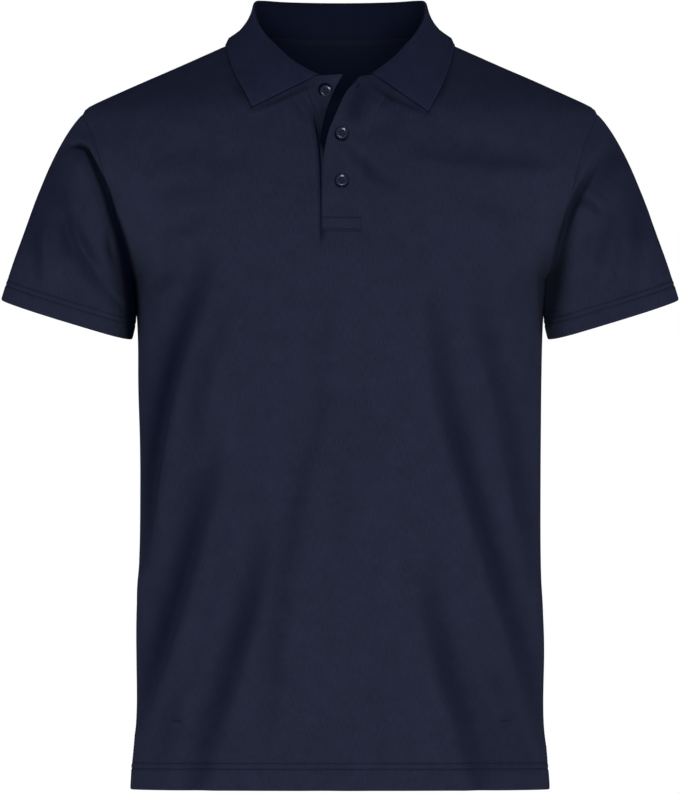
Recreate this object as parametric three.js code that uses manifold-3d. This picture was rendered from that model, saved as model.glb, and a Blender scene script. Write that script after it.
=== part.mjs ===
// A short-sleeved polo shirt in plain knitted cotton, filled out as it hangs on a wearer who is not there.
// Each piece that a maker cuts and sews on is one closed cloth wall: front, back, two sleeves, a knitted collar,
// the upper and under bands of the placket, the tape inside the back neck, and three buttons.
// Millimetres, +Z up. The front faces -Y and the wearer's left is +X.
// The origin is the middle of the neck, level with the points where the shoulder seams meet the collar.
import * as THREE from "three";
import Module from "manifold-3d";

const CLOTH = 1.4;
const HEM_CLOTH = 2.2;
const COLLAR_CLOTH = 2.0;
const BAND_CLOTH = 2.0;
const TAPE_CLOTH = 1.0;
const SEAM_GAP = 0.3;
const HEM_DEPTH = 20;
const SEAM_TURNING = 3;
const BAND_REST = 0.5;
const CURL_OUT = 0.55;
const CURL_IN = 1.1;

const NAVY = 0x24273a;
const BUTTON_NAVY = 0x1b1f33;

// The height of a level is its distance up the cloth from the hem.
const UNDERARM = 496;
const SHOULDER_POINT = 668;
const NECKLINE = 778;
const PLACKET_BOTTOM = 521;

// The seams that two pieces share, from the hem up the side to the underarm, and from the arm up to the neck.
const SIDE_SEAM = [
  { at: 0, x: 200.2, y: 0, z: -726, spread: 7 },
  { at: 24, x: 198.8, y: 0, z: -702, spread: 4.5 },
  { at: 62, x: 195.6, y: 0, z: -663, spread: 0.15 },
  { at: 124, x: 195.2, y: 0, z: -600, spread: 0.15 },
  { at: 224, x: 192.6, y: 0, z: -500, spread: 0.15 },
  { at: 324, x: 192, y: 0, z: -400, spread: 0.15 },
  { at: 404, x: 193.2, y: 0, z: -320, spread: 0.15 },
  { at: 455, x: 195, y: 0, z: -277, spread: 0.15 },
  { at: 496, x: 198.5, y: 0, z: -238, spread: 0.15 },
];
const FRONT_ARMHOLE = [
  { at: 496, x: 198.5, y: 0, z: -238 },
  { at: 527, x: 206, y: -42, z: -216 },
  { at: 563, x: 213, y: -59, z: -182 },
  { at: 597, x: 221, y: -60, z: -147 },
  { at: 630, x: 231, y: -46, z: -111 },
  { at: 668, x: 247, y: 0, z: -79 },
];
const BACK_ARMHOLE = [
  { at: 496, x: 198.5, y: 0, z: -238 },
  { at: 527, x: 205, y: 44, z: -214 },
  { at: 563, x: 212, y: 64, z: -180 },
  { at: 597, x: 220, y: 66, z: -144 },
  { at: 630, x: 230, y: 50, z: -108 },
  { at: 668, x: 247, y: 0, z: -79 },
];
const SHOULDER_SEAM = [
  { at: 668, x: 247, y: 0, z: -79, spread: 0.15 },
  { at: 675, x: 242, y: 0.5, z: -72.4, spread: 0.15 },
  { at: 698, x: 200, y: 2, z: -53, spread: 0.15 },
  { at: 731, x: 150, y: 3, z: -31, spread: 0.15 },
  { at: 757, x: 110, y: 4, z: -13, spread: 0.15 },
  { at: 778, x: 82, y: 5, z: -1, spread: 0.15 },
];

// The middle of the front and of the back, level by level. turn is how far round its own oval, in degrees, the
// panel reaches at that level, and full is the oval's squareness: under 1 is fuller than an ellipse.
const CENTRE_FRONT = [
  { at: 0, y: -113, z: -715.5, turn: 90, full: 0.8 },
  { at: 24, y: -112.5, z: -691, turn: 90, full: 0.8 },
  { at: 62, y: -112, z: -655, turn: 90, full: 0.8 },
  { at: 124, y: -113, z: -596, turn: 90, full: 0.8 },
  { at: 224, y: -116, z: -498, turn: 90, full: 0.82 },
  { at: 324, y: -121, z: -399, turn: 90, full: 0.84 },
  { at: 404, y: -125, z: -319, turn: 90, full: 0.84 },
  { at: 455, y: -126.5, z: -264, turn: 88, full: 0.82 },
  { at: 496, y: -126, z: -222, turn: 84, full: 0.82 },
  { at: 527, y: -122, z: -192, turn: 74, full: 0.85 },
  { at: 563, y: -115.5, z: -161, turn: 68, full: 0.9 },
  { at: 597, y: -108, z: -133, turn: 68, full: 0.95 },
  { at: 630, y: -100, z: -109, turn: 75, full: 0.95 },
  { at: 668, y: -92, z: -87, turn: 88, full: 0.9 },
  { at: 698, y: -87.5, z: -76, turn: 90, full: 0.9 },
  { at: 731, y: -83, z: -66, turn: 90, full: 0.9 },
  { at: 757, y: -78.5, z: -58, turn: 90, full: 0.9 },
  { at: 778, y: -74, z: -51, turn: 90, full: 0.9 },
];
const CENTRE_BACK = [
  { at: 0, y: 104, z: -727, turn: 90, full: 0.8 },
  { at: 24, y: 103, z: -703, turn: 90, full: 0.8 },
  { at: 62, y: 101.5, z: -665, turn: 90, full: 0.8 },
  { at: 124, y: 99, z: -603, turn: 90, full: 0.8 },
  { at: 224, y: 96.5, z: -503, turn: 90, full: 0.82 },
  { at: 324, y: 98, z: -403, turn: 90, full: 0.84 },
  { at: 404, y: 103, z: -322, turn: 90, full: 0.84 },
  { at: 455, y: 107.5, z: -266, turn: 88, full: 0.82 },
  { at: 496, y: 110.5, z: -222, turn: 84, full: 0.82 },
  { at: 527, y: 112, z: -190, turn: 76, full: 0.85 },
  { at: 563, y: 111.5, z: -156, turn: 72, full: 0.9 },
  { at: 597, y: 108, z: -122, turn: 72, full: 0.92 },
  { at: 630, y: 102, z: -93, turn: 78, full: 0.92 },
  { at: 668, y: 93, z: -63, turn: 88, full: 0.9 },
  { at: 698, y: 84, z: -42, turn: 90, full: 0.9 },
  { at: 731, y: 74, z: -23, turn: 90, full: 0.9 },
  { at: 757, y: 65.5, z: -11, turn: 90, full: 0.9 },
  { at: 778, y: 58, z: -1, turn: 90, full: 0.9 },
];

// The placket: where the front panel is cut open, and the free edge of each band.
const PLACKET = [
  { at: 521, cutWearerRight: -17, cutWearerLeft: 20, upperFree: -16.4, underFree: 18, curl: 0 },
  { at: 590, cutWearerRight: -17.5, cutWearerLeft: 21, upperFree: -16.4, underFree: 16, curl: 2 },
  { at: 630, cutWearerRight: -20, cutWearerLeft: 25, upperFree: -12.3, underFree: 6, curl: 7 },
  { at: 669, cutWearerRight: -24.5, cutWearerLeft: 33, upperFree: -4, underFree: 0, curl: 7 },
  { at: 735, cutWearerRight: -31, cutWearerLeft: 45, upperFree: 7.5, underFree: 0.5, curl: 2 },
  { at: 778, cutWearerRight: -35, cutWearerLeft: 54, upperFree: 21.5, underFree: 3, curl: 0 },
];

// Soft folds as seen from the front, in x and z, from one end by the middle to the other. A trough is negative.
const FRONT_FOLDS = [
  { from: [-132, -236], by: [-166, -330], to: [-186, -460], wide: 11, high: -7 },
  { from: [-108, -270], by: [-140, -390], to: [-128, -455], wide: 15, high: -4 },
  { from: [-128, -440], by: [-142, -545], to: [-186, -640], wide: 15, high: -8 },
  { from: [-62, -420], by: [-84, -560], to: [-138, -730], wide: 17, high: -8 },
  { from: [86, -270], by: [108, -400], to: [136, -480], wide: 13, high: -6 },
  { from: [130, -450], by: [156, -540], to: [190, -640], wide: 15, high: -9 },
  { from: [132, -240], by: [152, -340], to: [175, -450], wide: 14, high: -5 },
  { from: [80, -515], by: [102, -610], to: [136, -730], wide: 16, high: -8 },
  { from: [70, -108], by: [130, -122], to: [200, -124], wide: 13, high: -3 },
];
const BACK_FOLDS = [
  { from: [-150, -250], by: [-120, -400], to: [-150, -560], wide: 18, high: -7 },
  { from: [150, -255], by: [128, -390], to: [158, -560], wide: 18, high: -7 },
  { from: [-70, -330], by: [-52, -520], to: [-88, -730], wide: 22, high: -7 },
  { from: [60, -350], by: [78, -540], to: [60, -730], wide: 22, high: -7 },
  { from: [-6, -420], by: [8, -560], to: [-8, -730], wide: 24, high: -5 },
  { from: [-120, -110], by: [0, -128], to: [120, -108], wide: 20, high: -2.5 },
];

// The sleeve on the wearer's left: how it leaves the armhole, and its lower edge. turn 0 is the top of the arm, and
// it goes round by the front. The sleeve on the other side is its mirror image, with its own folds.
const SLEEVE_START = [
  { turn: 0, x: 84, y: 0, z: -78 },
  { turn: 45, x: 80, y: -26, z: -70 },
  { turn: 90, x: 62, y: -36, z: -80 },
  { turn: 135, x: 48, y: -12, z: -40 },
  { turn: 180, x: 4, y: 22, z: -18 },
  { turn: 225, x: 48, y: 12, z: -40 },
  { turn: 270, x: 62, y: 36, z: -80 },
  { turn: 315, x: 80, y: 26, z: -70 },
];
const CUFF = {
  x: 263.2,
  z: -276,
  halfWidth: 64.5,
  halfDepth: 57,
  tilt: 17,
  full: 0.92,
  innerBack: 22,
  frontDrop: 2.6,
};
const CUFF_LEAN = { outside: 190, inside: 112 };
const SLEEVE_HEM_START = 0.9;
const SLEEVE_SEAM_GAP = 0.48;
const SLEEVE_FOLDS = {
  left: [
    { from: [258, -106], by: [240, -132], to: [222, -168], wide: 8, high: -6 },
    { from: [229, -158], by: [220, -215], to: [213, -292], wide: 10, high: 6 },
    { from: [288, -190], by: [284, -225], to: [281, -245], wide: 8, high: -3 },
  ],
  right: [
    { from: [256, -108], by: [236, -122], to: [221, -168], wide: 8, high: -8 },
    { from: [230, -158], by: [221, -215], to: [213, -292], wide: 10, high: 7 },
    { from: [254, -172], by: [240, -215], to: [216, -262], wide: 7, high: -4 },
    { from: [287, -200], by: [286, -225], to: [284, -245], wide: 7, high: -3 },
  ],
};

// The collar, from the middle of the back round to its front end. turn is the place on the neckline, in degrees;
// rise and lean place the roll above the seam; and the edge of the leaf lies at x, z and, behind the shoulders, y.
const COLLAR_BACK = [
  { turn: 0, rise: 37, lean: 0, roll: 8, sag: 3, x: 0, y: 84, z: -17 },
  { turn: 35, rise: 37, lean: 0, roll: 8, sag: 5, x: 52, y: 76, z: -19 },
  { turn: 65, rise: 36, lean: -2, roll: 7, sag: 11, x: 89, y: 47, z: -20 },
  { turn: 90, rise: 32, lean: -3, roll: 5, sag: 16, x: 107, y: 8, z: -16.5 },
];
const COLLAR_FRONT = {
  left: [
    { turn: 112, rise: 27, lean: 1, roll: 6, sag: 12, x: 106, z: -27 },
    { turn: 130, rise: 20, lean: 2, roll: 7, sag: 6, x: 101, z: -44 },
    { turn: 144, rise: 11, lean: 3, roll: 6, sag: 1, x: 94, z: -62 },
    { turn: 158, rise: 1.5, lean: 2.5, roll: 3, sag: 0, x: 82, z: -85 },
  ],
  right: [
    { turn: 112, rise: 27, lean: 1, roll: 6, sag: 12, x: 105, z: -28 },
    { turn: 132, rise: 20, lean: 2, roll: 7, sag: 6, x: 99, z: -46 },
    { turn: 149, rise: 10, lean: 3, roll: 6, sag: 1, x: 91, z: -62 },
    { turn: 165, rise: 1.5, lean: 2.5, roll: 3, sag: 0, x: 81.5, z: -81 },
  ],
};
const LEAF_LIFT = 3.2;
const UNDER_CORNER_RISE = 4;

const TAPE_DROP = 9;
const TAPE_REACH = 84;

const BUTTON = { radius: 5.7, thick: 2.6, rim: 1.1, dish: 0.7, holeRadius: 0.75, holeSpread: 1.2, shank: 0.35 };
const BUTTON_PLACES = [
  { name: "button_top", band: "under", x: -12, z: -64 },
  { name: "button_middle", band: "upper", x: 1.5, z: -107 },
  { name: "button_bottom", band: "upper", x: 1.8, z: -151 },
];

const radians = THREE.MathUtils.degToRad;
const mix = THREE.MathUtils.lerp;
const ease = THREE.MathUtils.smoothstep;

// The value of a table's column at a place, on a smooth curve through the rows.
function columnAt(table, column, place, key = "at") {
  const last = table.length - 1;
  let i = 0;
  while (i < last - 1 && place > table[i + 1][key]) i += 1;
  const slope = (k) => {
    const before = table[Math.max(k - 1, 0)];
    const after = table[Math.min(k + 1, last)];
    return (after[column] - before[column]) / (after[key] - before[key]);
  };
  const span = table[i + 1][key] - table[i][key];
  const t = (place - table[i][key]) / span;
  const start = (1 + 2 * t) * (1 - t) ** 2 * table[i][column];
  const end = t * t * (3 - 2 * t) * table[i + 1][column];
  return start + end + span * (t * (1 - t) ** 2 * slope(i) - t * t * (1 - t) * slope(i + 1));
}

const pointAt = (table, place) =>
  new THREE.Vector3(
    columnAt(table, "x", place),
    columnAt(table, "y", place),
    columnAt(table, "z", place),
  );

// The part of a whole seam that a level lies on.
function seamPart(armhole, at) {
  if (at <= UNDERARM) return SIDE_SEAM;
  return at < SHOULDER_POINT ? armhole : SHOULDER_SEAM;
}

// A panel's edge at a level, and the same edge with its corners smoothed, which shapes the cloth away from the seam.
function panelEdge(armhole, at) {
  const whole = [...SIDE_SEAM, ...armhole.slice(1), ...SHOULDER_SEAM.slice(1)];
  return { seam: pointAt(seamPart(armhole, at), at), smooth: pointAt(whole, at) };
}

const FRONT = { armhole: FRONT_ARMHOLE, centre: CENTRE_FRONT, folds: FRONT_FOLDS, faces: -1 };
const BACK = { armhole: BACK_ARMHOLE, centre: CENTRE_BACK, folds: BACK_FOLDS, faces: 1 };

// A point of the plain front or back, with no folds: across runs from -1 to 1.
function plainPanel(panel, across, at) {
  const { seam, smooth } = panelEdge(panel.armhole, at);
  const seamTable = seamPart(panel.armhole, at);
  const spread = "spread" in seamTable[0] ? Math.max(columnAt(seamTable, "spread", at), SEAM_GAP / 2) : 0;
  const turn = radians(Math.min(columnAt(panel.centre, "turn", at), 90));
  const full = columnAt(panel.centre, "full", at);
  const side = Math.min(Math.abs(across), 1);
  const reach = Math.sin(side * turn) / Math.sin(turn);
  const roundTo = (angle) => 1 - Math.max(Math.cos(angle), 0) ** full;
  const back = roundTo(side * turn) / roundTo(turn);
  const centreY = columnAt(panel.centre, "y", at);
  const centreZ = columnAt(panel.centre, "z", at);
  const point = new THREE.Vector3(
    smooth.x * reach,
    mix(centreY, smooth.y, back),
    mix(centreZ, smooth.z, back),
  );
  const corner = side ** 8;
  point.addScaledVector(seam.clone().sub(smooth), corner);
  point.y += panel.faces * spread * back;
  point.x *= Math.sign(across);
  return point;
}

// How far folds raise the cloth at a place, as seen from the front: each is a soft ridge or trough along a curve.
function foldHeight(folds, a, b) {
  const steps = 14;
  let height = 0;
  for (const fold of folds) {
    let nearest = Infinity;
    let along = 0;
    for (let k = 0; k <= steps; k += 1) {
      const t = k / steps;
      const bend = (n) => (1 - t) ** 2 * fold.from[n] + 2 * t * (1 - t) * fold.by[n] + t * t * fold.to[n];
      const far = Math.hypot(a - bend(0), b - bend(1));
      if (far < nearest) {
        nearest = far;
        along = t;
      }
    }
    const taper = Math.sin(Math.PI * mix(0.08, 0.92, along)) ** 0.7;
    height += fold.high * taper * Math.exp(-((nearest / fold.wide) ** 2));
  }
  return height;
}

// The outward normal of a surface made by a function of two numbers.
function normalOf(surface, a, b, stepA, stepB, outward) {
  const alongA = surface(a + stepA, b).sub(surface(a - stepA, b));
  const alongB = surface(a, b + stepB).sub(surface(a, b - stepB));
  const normal = alongA.cross(alongB).normalize();
  return normal.dot(outward) < 0 ? normal.negate() : normal;
}

// The cloth's outer surface and normal on the front or back. The folds fade out at the seams.
function panelPlace(panel, across, at) {
  const plain = plainPanel(panel, across, at);
  const inside = THREE.MathUtils.clamp(across, -0.998, 0.998);
  const level = THREE.MathUtils.clamp(at, 0.6, NECKLINE - 0.6);
  const outward = new THREE.Vector3(across * 0.7, panel.faces * (1.01 - Math.abs(across)), 0.25);
  const normal = normalOf((u, v) => plainPanel(panel, u, v), inside, level, 0.002, 0.5, outward);
  const onStraightSeam = Math.abs(across) === 1 && (at <= UNDERARM || at >= SHOULDER_POINT);
  if (onStraightSeam) normal.setY(0).normalize();
  const fade = (1 - Math.abs(across) ** 10) * (1 - ease(at, NECKLINE - 60, NECKLINE));
  const height = foldHeight(panel.folds, plain.x, plain.z) * fade;
  return { point: plain.addScaledVector(normal, height), normal };
}

// Where x lies across a panel at a level.
function acrossAt(panel, x, at) {
  let low = 0;
  let high = 1;
  for (let k = 0; k < 30; k += 1) {
    const middle = (low + high) / 2;
    if (plainPanel(panel, middle, at).x < Math.abs(x)) low = middle;
    else high = middle;
  }
  return Math.sign(x) * low;
}

// The place on the front panel that is seen from the front at x and z.
function placeOnFront(x, z) {
  let low = UNDERARM - 60;
  let high = NECKLINE;
  for (let k = 0; k < 30; k += 1) {
    const middle = (low + high) / 2;
    if (plainPanel(FRONT, acrossAt(FRONT, x, middle), middle).z < z) low = middle;
    else high = middle;
  }
  return panelPlace(FRONT, acrossAt(FRONT, x, low), low);
}

// The place on the back panel that is seen from above at x and y.
function placeOnBack(x, y) {
  let low = SHOULDER_POINT;
  let high = NECKLINE;
  for (let k = 0; k < 30; k += 1) {
    const middle = (low + high) / 2;
    if (plainPanel(BACK, acrossAt(BACK, x, middle), middle).y > y) low = middle;
    else high = middle;
  }
  return panelPlace(BACK, acrossAt(BACK, x, low), low);
}

// A closed wall from rows of places, each with its outer and inner point. keep says which cells are cloth.
function clothWall(rows, { closed = false, keep = () => true } = {}) {
  const wide = rows[0].length;
  const cells = closed ? wide : wide - 1;
  const positions = [];
  for (const row of rows) for (const place of row) positions.push(place.outer, place.inner);
  const index = (j, i, inner) => 2 * (j * wide + (i % wide)) + inner;
  const kept = (j, i) => {
    if (j < 0 || j >= rows.length - 1) return false;
    if (!closed && (i < 0 || i >= cells)) return false;
    return keep(j, (i + cells) % cells);
  };
  const faces = [];
  const quad = (a, b, c, d) => faces.push(a, b, c, a, c, d);
  for (let j = 0; j < rows.length - 1; j += 1) {
    for (let i = 0; i < cells; i += 1) {
      if (!kept(j, i)) continue;
      quad(index(j, i, 0), index(j, i + 1, 0), index(j + 1, i + 1, 0), index(j + 1, i, 0));
      quad(index(j, i, 1), index(j + 1, i, 1), index(j + 1, i + 1, 1), index(j, i + 1, 1));
      if (!kept(j - 1, i)) quad(index(j, i, 0), index(j, i, 1), index(j, i + 1, 1), index(j, i + 1, 0));
      if (!kept(j + 1, i))
        quad(index(j + 1, i, 0), index(j + 1, i + 1, 0), index(j + 1, i + 1, 1), index(j + 1, i, 1));
      if (!kept(j, i - 1)) quad(index(j, i, 0), index(j + 1, i, 0), index(j + 1, i, 1), index(j, i, 1));
      if (!kept(j, i + 1))
        quad(index(j, i + 1, 0), index(j, i + 1, 1), index(j + 1, i + 1, 1), index(j + 1, i + 1, 0));
    }
  }
  const geometry = new THREE.BufferGeometry();
  geometry.setAttribute(
    "position",
    new THREE.Float32BufferAttribute(positions.flatMap((p) => [p.x, p.y, p.z]), 3),
  );
  geometry.setIndex(faces);
  return geometry;
}

// Turns a wall's faces round where its rows and columns run the other way.
function facingOut(geometry) {
  const p = geometry.getAttribute("position");
  const index = geometry.getIndex();
  const corner = (k) => new THREE.Vector3().fromBufferAttribute(p, index.getX(k));
  let volume = 0;
  for (let k = 0; k < index.count; k += 3) volume += corner(k).dot(corner(k + 1).cross(corner(k + 2)));
  if (volume < 0) {
    for (let k = 0; k < index.count; k += 3) {
      const second = index.getX(k + 1);
      index.setX(k + 1, index.getX(k + 2));
      index.setX(k + 2, second);
    }
  }
  return geometry;
}

const layer = ({ point, normal }, thick, offset = 0) => ({
  outer: point.clone().addScaledVector(normal, offset),
  inner: point.clone().addScaledVector(normal, offset - thick),
});

const evenly = (from, to, steps) => Array.from({ length: steps + 1 }, (_, k) => mix(from, to, k / steps));

// The sleeve's place: turn runs from 0 at the top of the arm, round by the front, to 360, and along from 0 to 1.
const armholeTurn = (at) => (180 * (SHOULDER_POINT - at)) / (SHOULDER_POINT - UNDERARM);

const armholeLevel = (turn) => mix(SHOULDER_POINT, UNDERARM, Math.min(turn, 360 - turn) / 180);

function armholePlace(turn) {
  return pointAt(turn <= 180 ? FRONT_ARMHOLE : BACK_ARMHOLE, armholeLevel(turn));
}

function aroundTable(table, column, turn) {
  const before = { ...table.at(-1), turn: table.at(-1).turn - 360 };
  const after = table.slice(0, 2).map((row) => ({ ...row, turn: row.turn + 360 }));
  return columnAt([before, ...table, ...after], column, turn, "turn");
}

function plainSleeve(turn, along) {
  const round = ((turn % 360) + 360) % 360;
  const start = armholePlace(round);
  const leaving = new THREE.Vector3(
    aroundTable(SLEEVE_START, "x", round),
    aroundTable(SLEEVE_START, "y", round),
    aroundTable(SLEEVE_START, "z", round),
  );
  const angle = radians(round);
  const soft = (value) => Math.sign(value) * Math.abs(value) ** CUFF.full;
  const out = CUFF.halfWidth * soft(Math.cos(angle));
  const tilt = radians(CUFF.tilt);
  const end = new THREE.Vector3(
    CUFF.x + out * Math.cos(tilt),
    (CUFF.innerBack * (1 - Math.cos(angle))) / 2 - CUFF.halfDepth * soft(Math.sin(angle)),
    CUFF.z + out * Math.sin(tilt) - CUFF.frontDrop * Math.sin(angle),
  );
  const lean = mix(CUFF_LEAN.inside, CUFF_LEAN.outside, (1 + Math.cos(angle)) / 2);
  const arriving = new THREE.Vector3(Math.sin(tilt), 0, -Math.cos(tilt)).multiplyScalar(lean);
  const t = along;
  return start
    .multiplyScalar((1 + 2 * t) * (1 - t) ** 2)
    .addScaledVector(leaving, t * (1 - t) ** 2)
    .addScaledVector(end, t * t * (3 - 2 * t))
    .addScaledVector(arriving, -t * t * (1 - t));
}

function sleevePlace(turn, along, folds) {
  const plain = plainSleeve(turn, along);
  const middle = plainSleeve(0, along).add(plainSleeve(180, along)).multiplyScalar(0.5);
  const outward = plain.clone().sub(middle);
  const level = THREE.MathUtils.clamp(along, 0.004, 0.996);
  const normal = normalOf(plainSleeve, turn, level, 0.6, 0.003, outward);
  const fade = ease(along, 0, 0.18) * ease(-normal.y, 0, 0.5);
  const height = foldHeight(folds, plain.x, plain.z) * fade;
  return { point: plain.addScaledVector(normal, height), normal };
}

// The normal that a panel and a sleeve share along the armhole, so that their edges stand parallel.
function armholeNormal(turn) {
  const panel = panelPlace(turn <= 180 ? FRONT : BACK, 1, armholeLevel(turn)).normal;
  return panel.add(sleevePlace(turn, 0, []).normal).normalize();
}

const hemThickness = (at) => (at <= HEM_DEPTH ? HEM_CLOTH : CLOTH);

// Front and back: the same rows, closer together at the hem's fold and round the armhole.
const HEM_LEVELS = [0, HEM_DEPTH, HEM_DEPTH + 1, 42, 62, 92, 124];
const BODY_LEVELS = [158, 192, 226, 260, 294, 328, 362, 396, 426, 455, 476];
const ARMHOLE_LEVELS = [UNDERARM, 508, PLACKET_BOTTOM, 536, 551, 566, 581, 597, 613, 628, 642, 655, SHOULDER_POINT];
const SHOULDER_LEVELS = [675, 690, 712, 735, 757, NECKLINE];
const PANEL_LEVELS = [...HEM_LEVELS, ...BODY_LEVELS, ...ARMHOLE_LEVELS, ...SHOULDER_LEVELS];

function panelLayer(panel, across, at) {
  const place = panelPlace(panel, across, at);
  const onArmhole = Math.abs(across) === 1 && at >= UNDERARM && at <= SHOULDER_POINT;
  if (onArmhole) {
    const turn = panel === FRONT ? armholeTurn(at) : 360 - armholeTurn(at);
    place.normal = armholeNormal(turn % 360);
    place.normal.x *= Math.sign(across);
  }
  return layer(place, hemThickness(at));
}

function backWall() {
  const places = evenly(-1, 1, 30);
  return clothWall(PANEL_LEVELS.map((at) => places.map((across) => panelLayer(BACK, across, at))));
}

// The front's columns are moved aside so that two of them follow the cut edges of the placket.
function frontWall() {
  const sideSteps = 15;
  const slotSteps = 2;
  const rows = PANEL_LEVELS.map((at) => {
    const level = Math.max(at, PLACKET_BOTTOM);
    const right = acrossAt(FRONT, columnAt(PLACKET, "cutWearerRight", level), at);
    const left = acrossAt(FRONT, columnAt(PLACKET, "cutWearerLeft", level), at);
    const across = [
      ...evenly(-1, right, sideSteps),
      ...evenly(right, left, slotSteps).slice(1, -1),
      ...evenly(left, 1, sideSteps),
    ];
    return across.map((u) => panelLayer(FRONT, u, at));
  });
  const firstOpen = PANEL_LEVELS.indexOf(PLACKET_BOTTOM);
  const inSlot = (j, i) => j >= firstOpen && i >= sideSteps && i < sideSteps + slotSteps;
  return clothWall(rows, { keep: (j, i) => !inSlot(j, i) });
}

function sleeveWall(folds) {
  const along = [0, 0.05, 0.12, 0.2, 0.29, 0.38, 0.47, 0.56, 0.65, 0.74, 0.82, SLEEVE_HEM_START, 1];
  const frontTurns = ARMHOLE_LEVELS.map(armholeTurn).reverse();
  const around = [...frontTurns, ...frontTurns.slice(1, -1).reverse().map((turn) => 360 - turn)];
  const rows = along.map((t, j) =>
    around.map((turn) => {
      const place = sleevePlace(turn, t, folds);
      if (j === 0) {
        const away = sleevePlace(turn, 0.02, []).point.sub(place.point).normalize();
        place.point.addScaledVector(away, SLEEVE_SEAM_GAP);
        place.normal = armholeNormal(turn);
      }
      return layer(place, t >= SLEEVE_HEM_START ? HEM_CLOTH : CLOTH);
    }),
  );
  return clothWall(rows, { closed: true });
}

// A band of the placket, from its cut edge to its free edge, on the front's own surface moved in or out.
function bandPlace(band, share, at) {
  const upper = band === "upper";
  const seam = columnAt(PLACKET, upper ? "cutWearerLeft" : "cutWearerRight", at);
  const free = columnAt(PLACKET, upper ? "upperFree" : "underFree", at);
  const curl = columnAt(PLACKET, "curl", at);
  const from = upper ? seam - SEAM_GAP : seam - SEAM_TURNING;
  const x = mix(from, free, share);
  const place = panelPlace(FRONT, acrossAt(FRONT, x, at), at);
  const lift = upper ? BAND_REST + CURL_OUT * curl * share ** 2 : -CLOTH - BAND_REST - CURL_IN * curl * share ** 2;
  place.point.addScaledVector(place.normal, lift);
  if (!upper) place.point.z += UNDER_CORNER_RISE * share * ease(at, 720, NECKLINE);
  return place;
}

const BAND_LEVELS = PANEL_LEVELS.filter((at) => at >= PLACKET_BOTTOM);

function bandWall(band) {
  const rows = BAND_LEVELS.map((at, j) => {
    const level = at + (j === 0 ? 2 * SEAM_GAP : 0) - (at === NECKLINE ? 2 * SEAM_GAP : 0);
    return evenly(0, 1, 4).map((share) => layer(bandPlace(band, share, level), BAND_CLOTH));
  });
  return clothWall(rows);
}

// A place on the neckline: turn 0 is the middle of the back and 180 the middle of the front.
function necklinePlace(turn) {
  const front = turn > 90;
  const panel = front ? FRONT : BACK;
  const across = (front ? 180 - turn : turn) / 90;
  const place = panelPlace(panel, across, NECKLINE);
  const below = panelPlace(panel, across, NECKLINE - 4);
  return { ...place, inward: place.point.clone().sub(below.point).normalize() };
}

// The section of the collar at one place: up the stand, over the roll and down the leaf.
function collarSection(rows, turn) {
  const value = (column) => columnAt(rows, column, turn, "turn");
  const seam = necklinePlace(turn);
  const start = seam.point.clone().addScaledVector(seam.inward, SEAM_GAP);
  start.addScaledVector(seam.normal, -CLOTH / 2);
  const flat = new THREE.Vector3(seam.normal.x, seam.normal.y, 0).normalize();
  const top = start.clone().addScaledVector(flat, value("lean"));
  top.z += value("rise");
  const over = top.clone().addScaledVector(flat, value("roll"));
  const edge = new THREE.Vector3(value("x"), 0, value("z"));
  if (turn > 90) {
    const rest = placeOnFront(edge.x, edge.z);
    edge.copy(rest.point).addScaledVector(rest.normal, LEAF_LIFT + COLLAR_CLOTH / 2);
  } else {
    const rest = placeOnBack(edge.x, value("y"));
    edge.y = value("y");
    edge.z = Math.max(edge.z, rest.point.z + LEAF_LIFT + COLLAR_CLOTH);
  }
  const middle = over.clone().lerp(edge, 0.5).addScaledVector(flat, -value("sag"));
  const leaving = start.clone().addScaledVector(seam.inward, 2.5);
  return { seam, controls: [start, leaving, top, over, middle, edge] };
}

// A clamped cubic B-spline through a section's six control points.
function splineAt(points, t) {
  const degree = 3;
  const knots = [0, 0, 0, 0, 1, 2, 3, 3, 3, 3];
  const place = Math.min(t * 3, 3 - 1e-9);
  let k = degree;
  while (place >= knots[k + 1]) k += 1;
  const d = points.slice(k - degree, k + 1).map((p) => p.clone());
  for (let r = 1; r <= degree; r += 1) {
    for (let j = degree; j >= r; j -= 1) {
      const low = knots[j + k - degree];
      const share = (place - low) / (knots[j + 1 + k - r] - low);
      d[j] = d[j - 1].clone().lerp(d[j], share);
    }
  }
  return d[degree];
}

function collarPlaces() {
  const halves = { left: [...COLLAR_BACK, ...COLLAR_FRONT.left], right: [...COLLAR_BACK, ...COLLAR_FRONT.right] };
  for (const half of Object.values(halves)) for (const row of half) row.y ??= 0;
  const across = [0, 0.12, 0.24, 0.34, 0.43, 0.52, 0.62, 0.74, 0.87, 1];
  const steps = 20;
  const columns = [];
  for (const side of ["right", "left"]) {
    const rows = halves[side];
    const mirror = side === "left" ? 1 : -1;
    const made = evenly(0, rows.at(-1).turn, steps).map((turn) => {
      const section = collarSection(rows, turn);
      const seamNormal = section.seam.normal.setX(section.seam.normal.x * mirror);
      return across.map((t) => {
        const point = splineAt(section.controls, t);
        point.x *= mirror;
        return { point, seamNormal };
      });
    });
    columns.push(side === "right" ? made.reverse().slice(0, -1) : made);
  }
  return columns.flat();
}

function collarWall() {
  const grid = collarPlaces();
  const last = grid[0].length - 1;
  const at = (i, j) => grid[THREE.MathUtils.clamp(i, 0, grid.length - 1)][THREE.MathUtils.clamp(j, 0, last)].point;
  const rows = grid.map((column, i) =>
    column.map(({ point, seamNormal }, j) => {
      const across = at(i, j + 1).clone().sub(at(i, j - 1));
      const along = at(i + 1, j).clone().sub(at(i - 1, j));
      const normal = along.cross(across).normalize();
      if (j === 0) normal.copy(seamNormal).multiplyScalar(Math.sign(normal.dot(seamNormal)));
      return {
        outer: point.clone().addScaledVector(normal, COLLAR_CLOTH / 2),
        inner: point.clone().addScaledVector(normal, -COLLAR_CLOTH / 2),
      };
    }),
  );
  return facingOut(clothWall(rows));
}

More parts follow.
